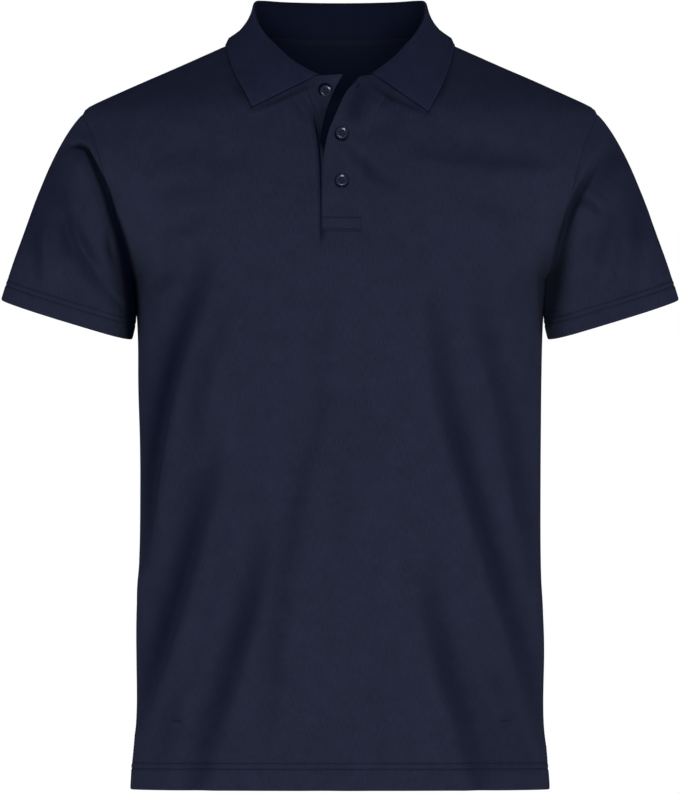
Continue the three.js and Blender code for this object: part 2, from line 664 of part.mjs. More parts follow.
// The tape that covers the neck seam inside the back.
function tapeWall() {
  const rows = [0, 0.5, 1].map((share) =>
    evenly(-TAPE_REACH, TAPE_REACH, 16).map((turn) => {
      const across = turn / 90;
      const place = panelPlace(BACK, across, NECKLINE - mix(TAPE_DROP, 1, share));
      return layer(place, TAPE_CLOTH, -CLOTH - BAND_REST);
    }),
  );
  return facingOut(clothWall(rows));
}

const wasm = await Module();
wasm.setup();

function toSolid(geometry) {
  const plain = new THREE.BufferGeometry();
  plain.setAttribute("position", geometry.getAttribute("position"));
  plain.setIndex(geometry.getIndex());
  const merged = mergeByPlace(plain);
  return new wasm.Manifold(new wasm.Mesh({ numProp: 3, ...merged }));
}

// Shared points of a geometry, which a closed solid needs.
function mergeByPlace(geometry) {
  const p = geometry.getAttribute("position");
  const index = geometry.getIndex();
  const seen = new Map();
  const vertices = [];
  const triangles = [];
  const numberOf = (k) => {
    const key = [p.getX(k), p.getY(k), p.getZ(k)].map((v) => Math.round(v * 1e4)).join();
    if (!seen.has(key)) {
      seen.set(key, vertices.length / 3);
      vertices.push(p.getX(k), p.getY(k), p.getZ(k));
    }
    return seen.get(key);
  };
  for (let k = 0; k < index.count; k += 3) {
    const [a, b, c] = [0, 1, 2].map((n) => numberOf(index.getX(k + n)));
    if (a !== b && b !== c && c !== a) triangles.push(a, b, c);
  }
  return { vertProperties: new Float32Array(vertices), triVerts: new Uint32Array(triangles) };
}

// A flat four-hole button with a raised rim, its back at z = 0.
function buttonGeometry() {
  const { radius, thick, rim, dish, holeRadius, holeSpread } = BUTTON;
  const profile = [
    [0, 0],
    [radius - 0.9, 0],
    [radius, 0.8],
    [radius, thick - 0.6],
    [radius - 0.5, thick],
    [radius - rim, thick],
    [radius - rim - 0.9, thick - dish],
    [0, thick - dish],
  ].map(([x, y]) => new THREE.Vector2(x, y));
  let solid = toSolid(new THREE.LatheGeometry(profile, 20).rotateX(Math.PI / 2));
  for (const [x, y] of [[1, 1], [1, -1], [-1, 1], [-1, -1]]) {
    const drill = new THREE.CylinderGeometry(holeRadius, holeRadius, thick * 3, 6).rotateX(Math.PI / 2);
    drill.translate(x * holeSpread, y * holeSpread, 0);
    solid = solid.subtract(toSolid(drill));
  }
  const mesh = solid.getMesh();
  const geometry = new THREE.BufferGeometry();
  geometry.setAttribute("position", new THREE.BufferAttribute(mesh.vertProperties, 3));
  geometry.setIndex(new THREE.BufferAttribute(mesh.triVerts, 1));
  return geometry;
}

// The place on a band that is seen from the front at x and z.
function placeOnBand(band, x, z) {
  let low = PLACKET_BOTTOM;
  let high = NECKLINE;
  for (let k = 0; k < 30; k += 1) {
    const middle = (low + high) / 2;
    if (plainPanel(FRONT, acrossAt(FRONT, x, middle), middle).z < z) low = middle;
    else high = middle;
  }
  const seam = columnAt(PLACKET, band === "upper" ? "cutWearerLeft" : "cutWearerRight", low);
  const free = columnAt(PLACKET, band === "upper" ? "upperFree" : "underFree", low);
  const share = (x - seam) / (free - seam);
  const { point, normal } = bandPlace(band, share, low);
  return { point, normal: normalOf((u, v) => bandPlace(band, u, v).point, share, low, 0.05, 2, normal) };
}

const cloth = new THREE.MeshStandardMaterial({ color: NAVY, roughness: 0.92, metalness: 0, name: "jersey" });
const knit = new THREE.MeshStandardMaterial({ color: NAVY, roughness: 0.95, metalness: 0, name: "collar_knit" });
const resin = new THREE.MeshStandardMaterial({ color: BUTTON_NAVY, roughness: 0.3, metalness: 0, name: "button" });

const shirt = new THREE.Group();

function addPiece(name, geometry, material) {
  const mesh = new THREE.Mesh(geometry, material);
  mesh.name = name;
  shirt.add(mesh);
  return mesh;
}

addPiece("front", facingOut(frontWall()), cloth);
addPiece("back", facingOut(backWall()), cloth);
for (const side of ["left", "right"]) {
  const geometry = sleeveWall(SLEEVE_FOLDS[side]);
  if (side === "right") geometry.scale(-1, 1, 1);
  addPiece(`sleeve_${side}`, facingOut(geometry), cloth);
}
addPiece("placket_upper", facingOut(bandWall("upper")), cloth);
addPiece("placket_under", facingOut(bandWall("under")), cloth);
addPiece("collar", collarWall(), knit);
addPiece("neck_tape", tapeWall(), cloth);

for (const { name, band, x, z } of BUTTON_PLACES) {
  const seat = placeOnBand(band, x, z);
  const button = addPiece(name, buttonGeometry(), resin);
  button.position.copy(seat.point).addScaledVector(seat.normal, BUTTON.shank);
  button.quaternion.setFromUnitVectors(new THREE.Vector3(0, 0, 1), seat.normal);
}

export default shirt;
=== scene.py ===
# %% [markdown]
# # A knitted polo shirt, filled out as it is worn
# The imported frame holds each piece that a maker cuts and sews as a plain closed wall. Here every piece of
# cloth is made again on the same form with a fine grid, so that it can carry the folds, hems and seams of
# soft cotton jersey. Sizes are worked out in millimetres, as a pattern cutter has them, and each point is
# brought to metres at the end.

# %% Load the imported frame
import math

import bmesh
import bpy
import numpy as np
from mathutils import Matrix, Vector, noise


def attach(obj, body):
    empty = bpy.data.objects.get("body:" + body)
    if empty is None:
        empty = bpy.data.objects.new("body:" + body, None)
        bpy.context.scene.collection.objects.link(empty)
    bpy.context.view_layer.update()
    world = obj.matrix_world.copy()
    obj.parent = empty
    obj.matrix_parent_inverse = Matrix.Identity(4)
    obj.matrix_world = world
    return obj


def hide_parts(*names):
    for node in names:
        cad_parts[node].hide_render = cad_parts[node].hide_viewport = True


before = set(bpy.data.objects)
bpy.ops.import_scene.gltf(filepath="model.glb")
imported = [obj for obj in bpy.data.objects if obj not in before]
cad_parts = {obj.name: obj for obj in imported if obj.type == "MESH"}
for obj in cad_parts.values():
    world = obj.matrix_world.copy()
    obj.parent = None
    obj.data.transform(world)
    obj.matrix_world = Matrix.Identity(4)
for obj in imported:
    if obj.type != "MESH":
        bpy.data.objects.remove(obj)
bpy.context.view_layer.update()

MM = 0.001
print("nodes:", ", ".join(sorted(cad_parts)))

# %% [markdown]
# ## The studio
# Product shirts are photographed from the front with a long lens, level with the middle of the body. A hard
# lamp would throw sharp shadows into every fold, so a wide soft light beside the camera, a little below it,
# does most of the work. One like it stands behind the shirt, for the back, and a weaker one at each side.
# The room is white to the eye, but its own light is weak and bluish, so the shoulders, which face up, go
# darker.

# %% Camera, lights and floor
CAMERA_AWAY, LENS = 3.2, 151.3
MIDDLE = Vector((0.0, 0.0, -0.35))
KEY_POWER = 88.0
SIDE_POWER = 27.0
ROOM_LIGHT, ROOM_COLOUR = 0.19, (0.42, 0.52, 1.0, 1)
FLOOR_RADIUS, FLOOR_LEVEL = 3.1, -1.5
FLOOR_PAINT = (0.9, 0.88, 0.82, 1)

camera = bpy.data.objects.new("camera", bpy.data.cameras.new("camera"))
camera.location = MIDDLE + Vector((0, -CAMERA_AWAY, 0))
camera.rotation_euler = (math.radians(90), 0, 0)
camera.data.sensor_width = 36.0
camera.data.lens = LENS
camera.data.clip_end = 60.0
bpy.context.scene.collection.objects.link(camera)
bpy.context.scene.camera = camera
bpy.context.scene.view_settings.view_transform = "Standard"


def area_light(name, place, size, power):
    """A soft rectangular light that faces the middle of the shirt."""
    light = bpy.data.lights.new(name, "AREA")
    light.shape = "RECTANGLE"
    light.size, light.size_y = size
    light.energy = power
    holder = bpy.data.objects.new(name, light)
    holder.location = place
    holder.rotation_euler = (MIDDLE - Vector(place)).to_track_quat("-Z", "Y").to_euler()
    bpy.context.scene.collection.objects.link(holder)
    return holder


WIDE, TALL = (1.8, 1.5), (1.6, 1.8)
area_light("front_light", (0.1, -3.6, -0.75), WIDE, KEY_POWER)
area_light("back_light", (-0.1, 3.6, -0.75), WIDE, KEY_POWER).visible_glossy = False
for side in (-1, 1):
    area_light("side_light", (3.2 * side, -0.5, -0.3), TALL, SIDE_POWER).visible_glossy = False

room = bpy.data.worlds.new("white_room")
bpy.context.scene.world = room
room.use_nodes = True
nodes, links = room.node_tree.nodes, room.node_tree.links
nodes.clear()
seen, lit = nodes.new("ShaderNodeBackground"), nodes.new("ShaderNodeBackground")
seen.inputs["Color"].default_value = (1, 1, 1, 1)
lit.inputs["Color"].default_value = ROOM_COLOUR
lit.inputs["Strength"].default_value = ROOM_LIGHT
which, path = nodes.new("ShaderNodeMixShader"), nodes.new("ShaderNodeLightPath")
out = nodes.new("ShaderNodeOutputWorld")
links.new(path.outputs["Is Camera Ray"], which.inputs["Fac"])
links.new(lit.outputs[0], which.inputs[1])
links.new(seen.outputs[0], which.inputs[2])
links.new(which.outputs[0], out.inputs["Surface"])

# The floor lies where the wearer would stand, well below the hem and out of the front picture.
floor_shape = bmesh.new()
on_floor = Matrix.Translation((0, 0, FLOOR_LEVEL))
bmesh.ops.create_circle(floor_shape, cap_ends=True, segments=96, radius=FLOOR_RADIUS, matrix=on_floor)
floor_mesh = bpy.data.meshes.new("floor")
floor_shape.to_mesh(floor_mesh)
floor_shape.free()
floor = bpy.data.objects.new("floor", floor_mesh)
bpy.context.scene.collection.objects.link(floor)
floor_paint = bpy.data.materials.new("floor_paint")
floor_paint.use_nodes = True
floor_surface = floor_paint.node_tree.nodes["Principled BSDF"]
floor_surface.inputs["Base Color"].default_value = FLOOR_PAINT
floor_surface.inputs["Roughness"].default_value = 0.8
floor.data.materials.append(floor_paint)
print("camera", round(camera.data.lens, 1), "mm lens,", CAMERA_AWAY, "m away")

# %% [markdown]
# ## The cut, as tables
# A shirt's form can be modelled by hand, simulated on a body, or worked out from a few measured levels. The
# last way is used, because it keeps the seams where the frame has them: each seam is a smooth curve through
# a few rows, and a panel is an oval arc between its centre line and its seams. `at` is the distance up the
# cloth from the hem.


# %% Tables and smooth columns
def rows(names, *values):
    """A table: one name for each column, and its rows."""
    return [dict(zip(names.split(), row)) for row in values]


def column(table, name, place, key="at"):
    """A column's value at any place, on a smooth curve through the rows."""
    keys = np.array([row[key] for row in table], float)
    values = np.array([row[name] for row in table], float)
    last = len(keys) - 1
    before, after = np.maximum(np.arange(last + 1) - 1, 0), np.minimum(np.arange(last + 1) + 1, last)
    slopes = (values[after] - values[before]) / (keys[after] - keys[before])
    place = np.asarray(place, float)
    i = np.clip(np.searchsorted(keys, place, side="left") - 1, 0, last - 1)
    span = keys[i + 1] - keys[i]
    t = (place - keys[i]) / span
    ends = (1 + 2 * t) * (1 - t) ** 2 * values[i] + t * t * (3 - 2 * t) * values[i + 1]
    return ends + span * (t * (1 - t) ** 2 * slopes[i] - t * t * (1 - t) * slopes[i + 1])


def point_on(table, place):
    return np.stack([column(table, name, place) for name in "xyz"], -1)


def ease(value, low, high):
    """From 0 at low to 1 at high, leaving and arriving gently."""
    t = np.clip((np.asarray(value, float) - low) / (high - low), 0, 1)
    return t * t * (3 - 2 * t)


def unit(vectors):
    return vectors / np.linalg.norm(vectors, axis=-1, keepdims=True)


VENT_TOP, UNDERARM, PLACKET_BOTTOM, SHOULDER_POINT, NECKLINE = 62, 496, 521, 668, 778
# The frame's pieces stand this far apart where they are sewn together.
SEAM_GAP = 0.3

SIDE_SEAM = rows(
    "at x y z spread",
    (0, 200.2, 0, -726, 7),
    (24, 198.8, 0, -702, 4.5),
    (62, 195.6, 0, -663, 0.15),
    (124, 195.2, 0, -600, 0.15),
    (224, 192.6, 0, -500, 0.15),
    (324, 192, 0, -400, 0.15),
    (404, 193.2, 0, -320, 0.15),
    (455, 195, 0, -277, 0.15),
    (496, 198.5, 0, -238, 0.15),
)
FRONT_ARMHOLE = rows(
    "at x y z",
    (496, 198.5, 0, -238),
    (527, 206, -42, -216),
    (563, 213, -59, -182),
    (597, 221, -60, -147),
    (630, 231, -46, -111),
    (668, 247, 0, -79),
)
BACK_ARMHOLE = rows(
    "at x y z",
    (496, 198.5, 0, -238),
    (527, 205, 44, -214),
    (563, 212, 64, -180),
    (597, 220, 66, -144),
    (630, 230, 50, -108),
    (668, 247, 0, -79),
)
SHOULDER_SEAM = rows(
    "at x y z spread",
    (668, 247, 0, -79, 0.15),
    (675, 242, 0.5, -72.4, 0.15),
    (698, 200, 2, -53, 0.15),
    (731, 150, 3, -31, 0.15),
    (757, 110, 4, -13, 0.15),
    (778, 82, 5, -1, 0.15),
)
CENTRE_FRONT = rows(
    "at y z turn full",
    (0, -113, -715.5, 90, 0.8),
    (24, -112.5, -691, 90, 0.8),
    (62, -112, -655, 90, 0.8),
    (124, -113, -596, 90, 0.8),
    (224, -116, -498, 90, 0.82),
    (324, -121, -399, 90, 0.84),
    (404, -125, -319, 90, 0.84),
    (455, -126.5, -264, 88, 0.82),
    (496, -126, -222, 84, 0.82),
    (527, -122, -192, 74, 0.85),
    (563, -115.5, -161, 68, 0.9),
    (597, -108, -133, 68, 0.95),
    (630, -100, -109, 75, 0.95),
    (668, -92, -87, 88, 0.9),
    (698, -87.5, -76, 90, 0.9),
    (731, -83, -66, 90, 0.9),
    (757, -78.5, -58, 90, 0.9),
    (778, -74, -51, 90, 0.9),
)
CENTRE_BACK = rows(
    "at y z turn full",
    (0, 104, -727, 90, 0.8),
    (24, 103, -703, 90, 0.8),
    (62, 101.5, -665, 90, 0.8),
    (124, 99, -603, 90, 0.8),
    (224, 96.5, -503, 90, 0.82),
    (324, 98, -403, 90, 0.84),
    (404, 103, -322, 90, 0.84),
    (455, 107.5, -266, 88, 0.82),
    (496, 110.5, -222, 84, 0.82),
    (527, 112, -190, 76, 0.85),
    (563, 111.5, -156, 72, 0.9),
    (597, 108, -122, 72, 0.92),
    (630, 102, -93, 78, 0.92),
    (668, 93, -63, 88, 0.9),
    (698, 84, -42, 90, 0.9),
    (731, 74, -23, 90, 0.9),
    (757, 65.5, -11, 90, 0.9),
    (778, 58, -1, 90, 0.9),
)
print("chest", 2 * round(SIDE_SEAM[-1]["x"]), "mm across, body", NECKLINE, "mm up the front")

# %% [markdown]
# ## Folds placed one by one
# Cloth that hangs from the shoulders and the chest makes long soft folds that fan out to the hem. A
# simulation would put them anywhere, so each one is a curve drawn as seen from the front, with a width and
# a depth. No two are alike. Each is a trough between two low swells, which is how a soft fold looks; a
# negative depth is a ridge. Each also carries a painted shade in its bottom, and a few narrow ones are mostly
# painted shadow, along the edges of the collar's leaves and the upper band, and over the top of the band.


# %% Folds
# The painted shade in a fold's bottom for each millimetre of its depth, where none is given.
DARK_FOR_DEPTH = 0.042
FOLD_STEP = 2.5


def fold(*line, wide, deep, skew=0.0, dark=None):
    """A fold along a line of x and z; skew makes one flank steeper, and dark is its painted shade, from 0 to
    1.
    """
    dark = DARK_FOR_DEPTH * max(deep, 0) if dark is None else dark
    return {"line": np.array(line, float), "wide": wide, "deep": deep, "skew": skew, "dark": dark}


def curve_through(line):
    """Closely spaced points on a smooth curve through a fold's points."""
    index = np.arange(len(line))
    table = [{"at": k, "x": p[0], "z": p[1]} for k, p in zip(index, line)]
    length = np.hypot(*np.diff(line, axis=0).T).sum()
    places = np.linspace(0, len(line) - 1, max(12, int(length / FOLD_STEP)))
    return np.stack([column(table, "x", places), column(table, "z", places)], -1)


def across_folds(folds, x, z):
    """For each fold: the places near it, how many widths off its line they lie, and how it fades."""
    for item in folds:
        line = curve_through(item["line"])
        reach = 4.5 * item["wide"]
        low, high = line.min(0) - reach, line.max(0) + reach
        near = np.flatnonzero((x > low[0]) & (x < high[0]) & (z > low[1]) & (z < high[1]))
        if not near.size:
            continue
        dx, dz = x[near, None] - line[:, 0], z[near, None] - line[:, 1]
        away = np.hypot(dx, dz)
        k = away.argmin(1)
        every = np.arange(near.size)
        run = np.gradient(line, axis=0)
        side = np.sign(run[k, 0] * dz[every, k] - run[k, 1] * dx[every, k])
        off = away[every, k] / (item["wide"] * (1 + item["skew"] * side))
        yield item, near, off, np.sin(np.pi * (0.05 + 0.9 * k / (len(line) - 1))) ** 0.7


def fold_height(folds, x, z):
    """How far the folds raise or lower the cloth at places seen at x and z."""
    height = np.zeros(x.size)
    for item, near, off, taper in across_folds(folds, x, z):
        height[near] += item["deep"] * taper * (0.3 * np.exp(-(((off - 2.0) / 0.9) ** 2)) - np.exp(-(off**2)))
    return height


def fold_shade(folds, x, z):
    """The painted shade in the bottoms of the folds, where they keep the light out."""
    light = np.ones(x.size)
    for item, near, off, taper in across_folds(folds, x, z):
        light[near] *= 1 - item["dark"] * taper * np.exp(-(off**2))
    return 1 - light


FRONT_FOLDS = [
    fold(
        (-125, -225), (-139, -270), (-153, -307), (-169, -367), (-179, -423), (-184, -472), (-188, -505),
        wide=11, deep=9, skew=-0.25, dark=0.74,
    ),
    fold(
        (-98, -256), (-116, -293), (-130, -335), (-136, -376), (-138, -420),
        wide=11, deep=3.5, skew=-0.3, dark=0.2,
    ),
    fold(
        (-116, -411), (-127, -445), (-141, -495), (-156, -545), (-170, -590), (-183, -628), (-191, -655),
        wide=12, deep=9, skew=-0.3, dark=0.64,
    ),
    fold((-152, -612), (-161, -650), (-166, -690), wide=9, deep=2.5, dark=0.16),
    fold(
        (-68, -475), (-76, -512), (-84, -547), (-94, -580),
        (-106, -620), (-118, -655), (-128, -690), (-134, -730),
        wide=11, deep=7, skew=-0.25, dark=0.5,
    ),
    fold(
        (-14, -261), (-16, -353), (-30, -409), (-42, -469),
        (-50, -520), (-55, -560), (-60, -620), (-66, -680),
        wide=10, deep=3.2, skew=-0.3, dark=0.2,
    ),
    fold((5, -330), (0, -399), (0, -538), wide=16, deep=1.8, dark=0.06),
    fold((28, -353), (32, -427), wide=13, deep=1.3, dark=0.06),
    fold(
        (85, -265), (94, -330), (108, -388), (125, -445), (145, -510), (162, -560), (184, -632), (193, -668),
        wide=10, deep=8, skew=0.25, dark=0.52,
    ),
    fold(
        (127, -247), (141, -307), (155, -362), (166, -423), (176, -470), (186, -520),
        wide=10, deep=5.5, skew=0.3, dark=0.32,
    ),
    fold(
        (79, -512), (86, -557), (98, -603), (113, -649), (126, -696), (134, -730),
        wide=11, deep=7, skew=0.3, dark=0.44,
    ),
    fold((118, -600), (136, -648), (146, -700), wide=8, deep=2, dark=0.12),
    fold((138, -590), (158, -650), (168, -728), wide=20, deep=1.4, dark=0.14),
    fold((-186, -236), (-186, -330), (-188, -440), wide=15, deep=1.2, dark=0.14),
    fold((30, -590), (36, -650), (34, -712), wide=15, deep=1.6, dark=0.05),
    fold((-20, -640), (-14, -690), (-18, -728), wide=13, deep=1.8, dark=0.06),
    fold((-185, -161), (-148, -156), (-113, -157), wide=9, deep=2, dark=0.1),
    fold((66, -116), (130, -124), (175, -127), (208, -126), wide=12, deep=3.8, skew=0.3, dark=0.2),
    fold((-190, -120), (-140, -126), (-90, -128), wide=14, deep=2, dark=0.07),
    fold((122, -167), (150, -176), (176, -180), wide=9, deep=2.2, dark=0.1),
    fold((5, -112), (20, -128), (32, -143), (50, -155), wide=5, deep=2.8, dark=0.22),
    # These two are mostly painted shade, where the top of the upper band lies under a collar leaf.
    fold((24, -57), (38, -66), (50, -78), wide=9, deep=1.6, dark=0.26),
    fold((23, -54), (18, -70), (13, -86), (10, -97), wide=11, deep=0.5, dark=0.5),
    fold((62, -82), (48, -96), (26, -104), wide=8, deep=1.4, dark=0.12),
    fold((-166, -205), (-146, -192), (-128, -186), wide=7, deep=1.8, dark=0.1),
    fold((-182, -248), (-166, -238), (-150, -228), wide=7, deep=1.8, dark=0.12),
    fold((142, -206), (168, -211), wide=8, deep=1.5),
    fold((-37, -66), (-25, -89), (-19, -111), (-18, -134), wide=2.6, deep=1.8, dark=0.34),
    fold((-47, -69), (-38, -82), (-29, -93), wide=2.4, deep=1.3, dark=0.26),
    fold((-29, -66), (-22, -82), (-18, -96), wide=2.2, deep=1.2, dark=0.2),
    fold((-17, -190), (-17, -210), wide=2, deep=1.4, dark=0.2),
    # Narrow grooves with painted shadow under the edges of the collar's leaves and beside the upper band's
    # edge.
    fold((-18, -52), (-50, -67), (-81, -81), wide=2.6, deep=1.8, dark=0.22),
    fold((-81, -81), (-92, -63), (-101, -46), (-107, -28), wide=2.6, deep=1.8, dark=0.16),
    fold((28, -55), (52, -70), (82, -85), wide=2.8, deep=1.8, dark=0.34),
    fold((82, -85), (94, -64), (102, -46), (108, -28), wide=2.6, deep=1.8, dark=0.2),
    fold((-13, -109), (-17.4, -140), (-17.6, -194), wide=2.2, deep=1.8),
]
BACK_FOLDS = [
    fold((-128, -232), (-143, -300), (-160, -380), (-170, -470), wide=13, deep=7.5, skew=0.2, dark=0.34),
    fold((134, -228), (150, -300), (158, -390), (176, -500), wide=12, deep=7, skew=-0.2, dark=0.32),
    fold((-96, -300), (-84, -400), (-104, -500), (-140, -620), (-150, -700), wide=13, deep=7.5, dark=0.36),
    fold(
        (92, -280), (80, -380), (96, -480), (118, -600), (150, -690),
        wide=12, deep=7.5, skew=0.2, dark=0.34,
    ),
    fold((-36, -330), (-28, -440), (-46, -560), (-54, -700), wide=16, deep=5, dark=0.22),
    fold((34, -350), (22, -470), (34, -590), (28, -724), wide=15, deep=5.4, dark=0.24),
    fold((-4, -420), (0, -520), (-10, -640), wide=18, deep=2.8, dark=0.1),
    fold((84, -560), (96, -640), (92, -724), wide=11, deep=4, dark=0.2),
    fold((-118, -610), (-106, -680), (-112, -728), wide=11, deep=3.6, dark=0.18),
    fold((-150, -122), (-70, -140), (10, -142), wide=16, deep=2.8, dark=0.12),
    fold((150, -118), (80, -134), (30, -136), wide=14, deep=2.6, dark=0.1),
    fold((-196, -150), (-176, -190), (-168, -226), wide=10, deep=3, dark=0.16),
    fold((196, -146), (180, -184), (170, -222), wide=10, deep=3.2, dark=0.16),
    fold((-60, -52), (0, -58), (58, -54), wide=12, deep=1.8, dark=0.08),
]
print(len(FRONT_FOLDS), "folds on the front,", len(BACK_FOLDS), "on the back")

# %% [markdown]
# ## The form of the front and back
# A panel's point is found from how far it is across, from -1 to 1, and its level. The middle comes from the
# centre table and the edges from the seam tables, and an oval arc joins them. The same function places the
# bands, the collar's edge and each stitch, so that nothing floats over or sinks into the folds.

# %% Points on the panels
FRONT = {"armhole": FRONT_ARMHOLE, "centre": CENTRE_FRONT, "folds": FRONT_FOLDS, "faces": -1}
BACK = {"armhole": BACK_ARMHOLE, "centre": CENTRE_BACK, "folds": BACK_FOLDS, "faces": 1}
SOFTEN = 34.0
EVERY_LEVEL = np.arange(NECKLINE + 1.0)


def softened(values_at):
    """A curve averaged over its neighbours, so that a corner in a seam doesn't run on across the panel."""
    reach = np.minimum(SOFTEN, np.minimum(EVERY_LEVEL, NECKLINE - EVERY_LEVEL))
    steps = np.linspace(-1, 1, 15)
    weights = (1 - steps**2) / (1 - steps**2).sum()
    return sum(weight * values_at(EVERY_LEVEL + step * reach).T for weight, step in zip(weights, steps)).T


for panel in (FRONT, BACK):
    whole = SIDE_SEAM + panel["armhole"][1:] + SHOULDER_SEAM[1:]
    panel["inside"] = softened(lambda level: point_on(whole, level))
    for name in ("turn", "full"):
        panel[name] = softened(lambda level: column(panel["centre"], name, level))


def plain_panel(panel, across, at):
    """Points of the form without folds: an oval arc at each level, from the middle to the seams."""
    across, at = np.broadcast_arrays(np.asarray(across, float), np.asarray(at, float))
    smooth = np.stack([np.interp(at, EVERY_LEVEL, panel["inside"][:, axis]) for axis in range(3)], -1)
    below, above = (at <= UNDERARM)[..., None], (at >= SHOULDER_POINT)[..., None]
    over_underarm = np.where(above, point_on(SHOULDER_SEAM, at), point_on(panel["armhole"], at))
    seam = np.where(below, point_on(SIDE_SEAM, at), over_underarm)
    beside_side = np.maximum(column(SIDE_SEAM, "spread", at), SEAM_GAP / 2)
    on_seam = np.where(at <= UNDERARM, beside_side, SEAM_GAP / 2)
    spread = np.where((at > UNDERARM) & (at < SHOULDER_POINT), 0, on_seam)
    turn = np.radians(np.minimum(np.interp(at, EVERY_LEVEL, panel["turn"]), 90))
    full = np.interp(at, EVERY_LEVEL, panel["full"])
    side = np.minimum(np.abs(across), 1)
    reach = np.sin(side * turn) / np.sin(turn)
    back = (1 - np.maximum(np.cos(side * turn), 0) ** full) / (1 - np.maximum(np.cos(turn), 0) ** full)
    centre_y, centre_z = column(panel["centre"], "y", at), column(panel["centre"], "z", at)
    arc_y = centre_y + (smooth[..., 1] - centre_y) * back
    arc_z = centre_z + (smooth[..., 2] - centre_z) * back
    point = np.stack([smooth[..., 0] * reach, arc_y, arc_z], -1)
    point += (seam - smooth) * (side**8)[..., None]
    point[..., 1] += panel["faces"] * spread * back
    point[..., 0] *= np.sign(across)
    return point


def normals_of(surface, a, b, step_a, step_b, outward):
    """Directions square to a surface, found from small steps along it, on the side that faces outward."""
    along_a = surface(a + step_a, b) - surface(a - step_a, b)
    along_b = surface(a, b + step_b) - surface(a, b - step_b)
    normal = np.cross(along_a, along_b)
    normal /= np.maximum(np.linalg.norm(normal, axis=-1, keepdims=True), 1e-9)
    return normal * np.where((normal * outward).sum(-1, keepdims=True) < 0, -1, 1)


def ripple(points, size, stretch, seed):
    """A slow unevenness, so that no stretch of cloth is perfectly smooth."""
    flat = points.reshape(-1, 3) / size
    values = [noise.noise(Vector((p[0] + seed, p[1], p[2] / stretch))) for p in flat]
    return np.array(values).reshape(points.shape[:-1])


def panel_place(panel, across, at):
    """Outer points of the folded cloth, and the normals of the form under the folds."""
    across, at = np.broadcast_arrays(np.asarray(across, float), np.asarray(at, float))
    point = plain_panel(panel, across, at)
    inside, level = np.clip(across, -0.998, 0.998), np.clip(at, 0.6, NECKLINE - 0.6)
    upward = np.full(across.shape, 0.25)
    outward = np.stack([across * 0.7, panel["faces"] * (1.01 - np.abs(across)), upward], -1)
    normal = normals_of(lambda u, v: plain_panel(panel, u, v), inside, level, 0.002, 0.5, outward)
    fade = (1 - np.abs(across) ** 10) * (1 - ease(at, NECKLINE - 60, NECKLINE))
    height = fold_height(panel["folds"], point[..., 0].ravel(), point[..., 2].ravel()).reshape(across.shape)
    height = height + 1.1 * ripple(point, 46, 1.8, panel["faces"] * 3.1) * ease(at, 0, 30)
    return point + normal * (height * fade)[..., None], normal


def across_at(panel, x, at):
    """Where x lies across a panel at a level."""
    x, at = np.broadcast_arrays(np.asarray(x, float), np.asarray(at, float))
    low, high = np.zeros(x.shape), np.ones(x.shape)
    for _ in range(22):
        middle = (low + high) / 2
        short = plain_panel(panel, middle, at)[..., 0] < np.abs(x)
        low, high = np.where(short, middle, low), np.where(short, high, middle)
    return np.sign(x) * low


def level_at(panel, x, value, axis, low_level):
    """The level where a panel, at x, has a given height seen from the front, or depth seen from above."""
    x, value = np.broadcast_arrays(np.asarray(x, float), np.asarray(value, float))
    low, high = np.full(x.shape, float(low_level)), np.full(x.shape, float(NECKLINE))
    for _ in range(22):
        middle = (low + high) / 2
        seen = plain_panel(panel, across_at(panel, x, middle), middle)[..., axis]
        short = seen < value if axis == 2 else seen > value
        low, high = np.where(short, middle, low), np.where(short, high, middle)
    return low


def place_on_front(x, z):
    level = level_at(FRONT, x, z, 2, 2)
    return panel_place(FRONT, across_at(FRONT, x, level), level)


def place_on_back(x, y):
    level = level_at(BACK, x, y, 1, SHOULDER_POINT)
    return panel_place(BACK, across_at(BACK, x, level), level)


probe = plain_panel(FRONT, np.array([0.0, 1.0]), np.array([400.0, 400.0]))
print("front at the chest reaches y", round(float(probe[0, 1])), "and x", round(float(probe[1, 0])))

# %% [markdown]
# ## Cloth from a grid
# A sheet of cloth could be drawn vertex by vertex, but Blender's grid operator already makes one with clean
# squares. Each vertex of the grid is moved to its place on the form, Solidify gives the cloth its thickness
# inwards, and a UV map in metres follows the threads, so that the knit keeps its true size on every piece.


# %% Make a piece of cloth
# Edges that turn by more than these angles, in degrees, stay sharp in the shading or are rounded off.
SHARP_CLOTH, BEVEL_FROM = 50, 55


def ground_distance(points):
    """UV in metres, from the lengths along the rows and up the middle column."""
    across = np.linalg.norm(np.diff(points, axis=1), axis=-1).cumsum(1)
    across = np.concatenate([np.zeros((points.shape[0], 1)), across], 1)
    across -= across[:, [points.shape[1] // 2]]
    up = np.linalg.norm(np.diff(points[:, points.shape[1] // 2], axis=0), axis=-1).cumsum()
    up = np.concatenate([[0], up])[:, None] + np.zeros_like(across)
    return np.stack([across, up], -1) * MM


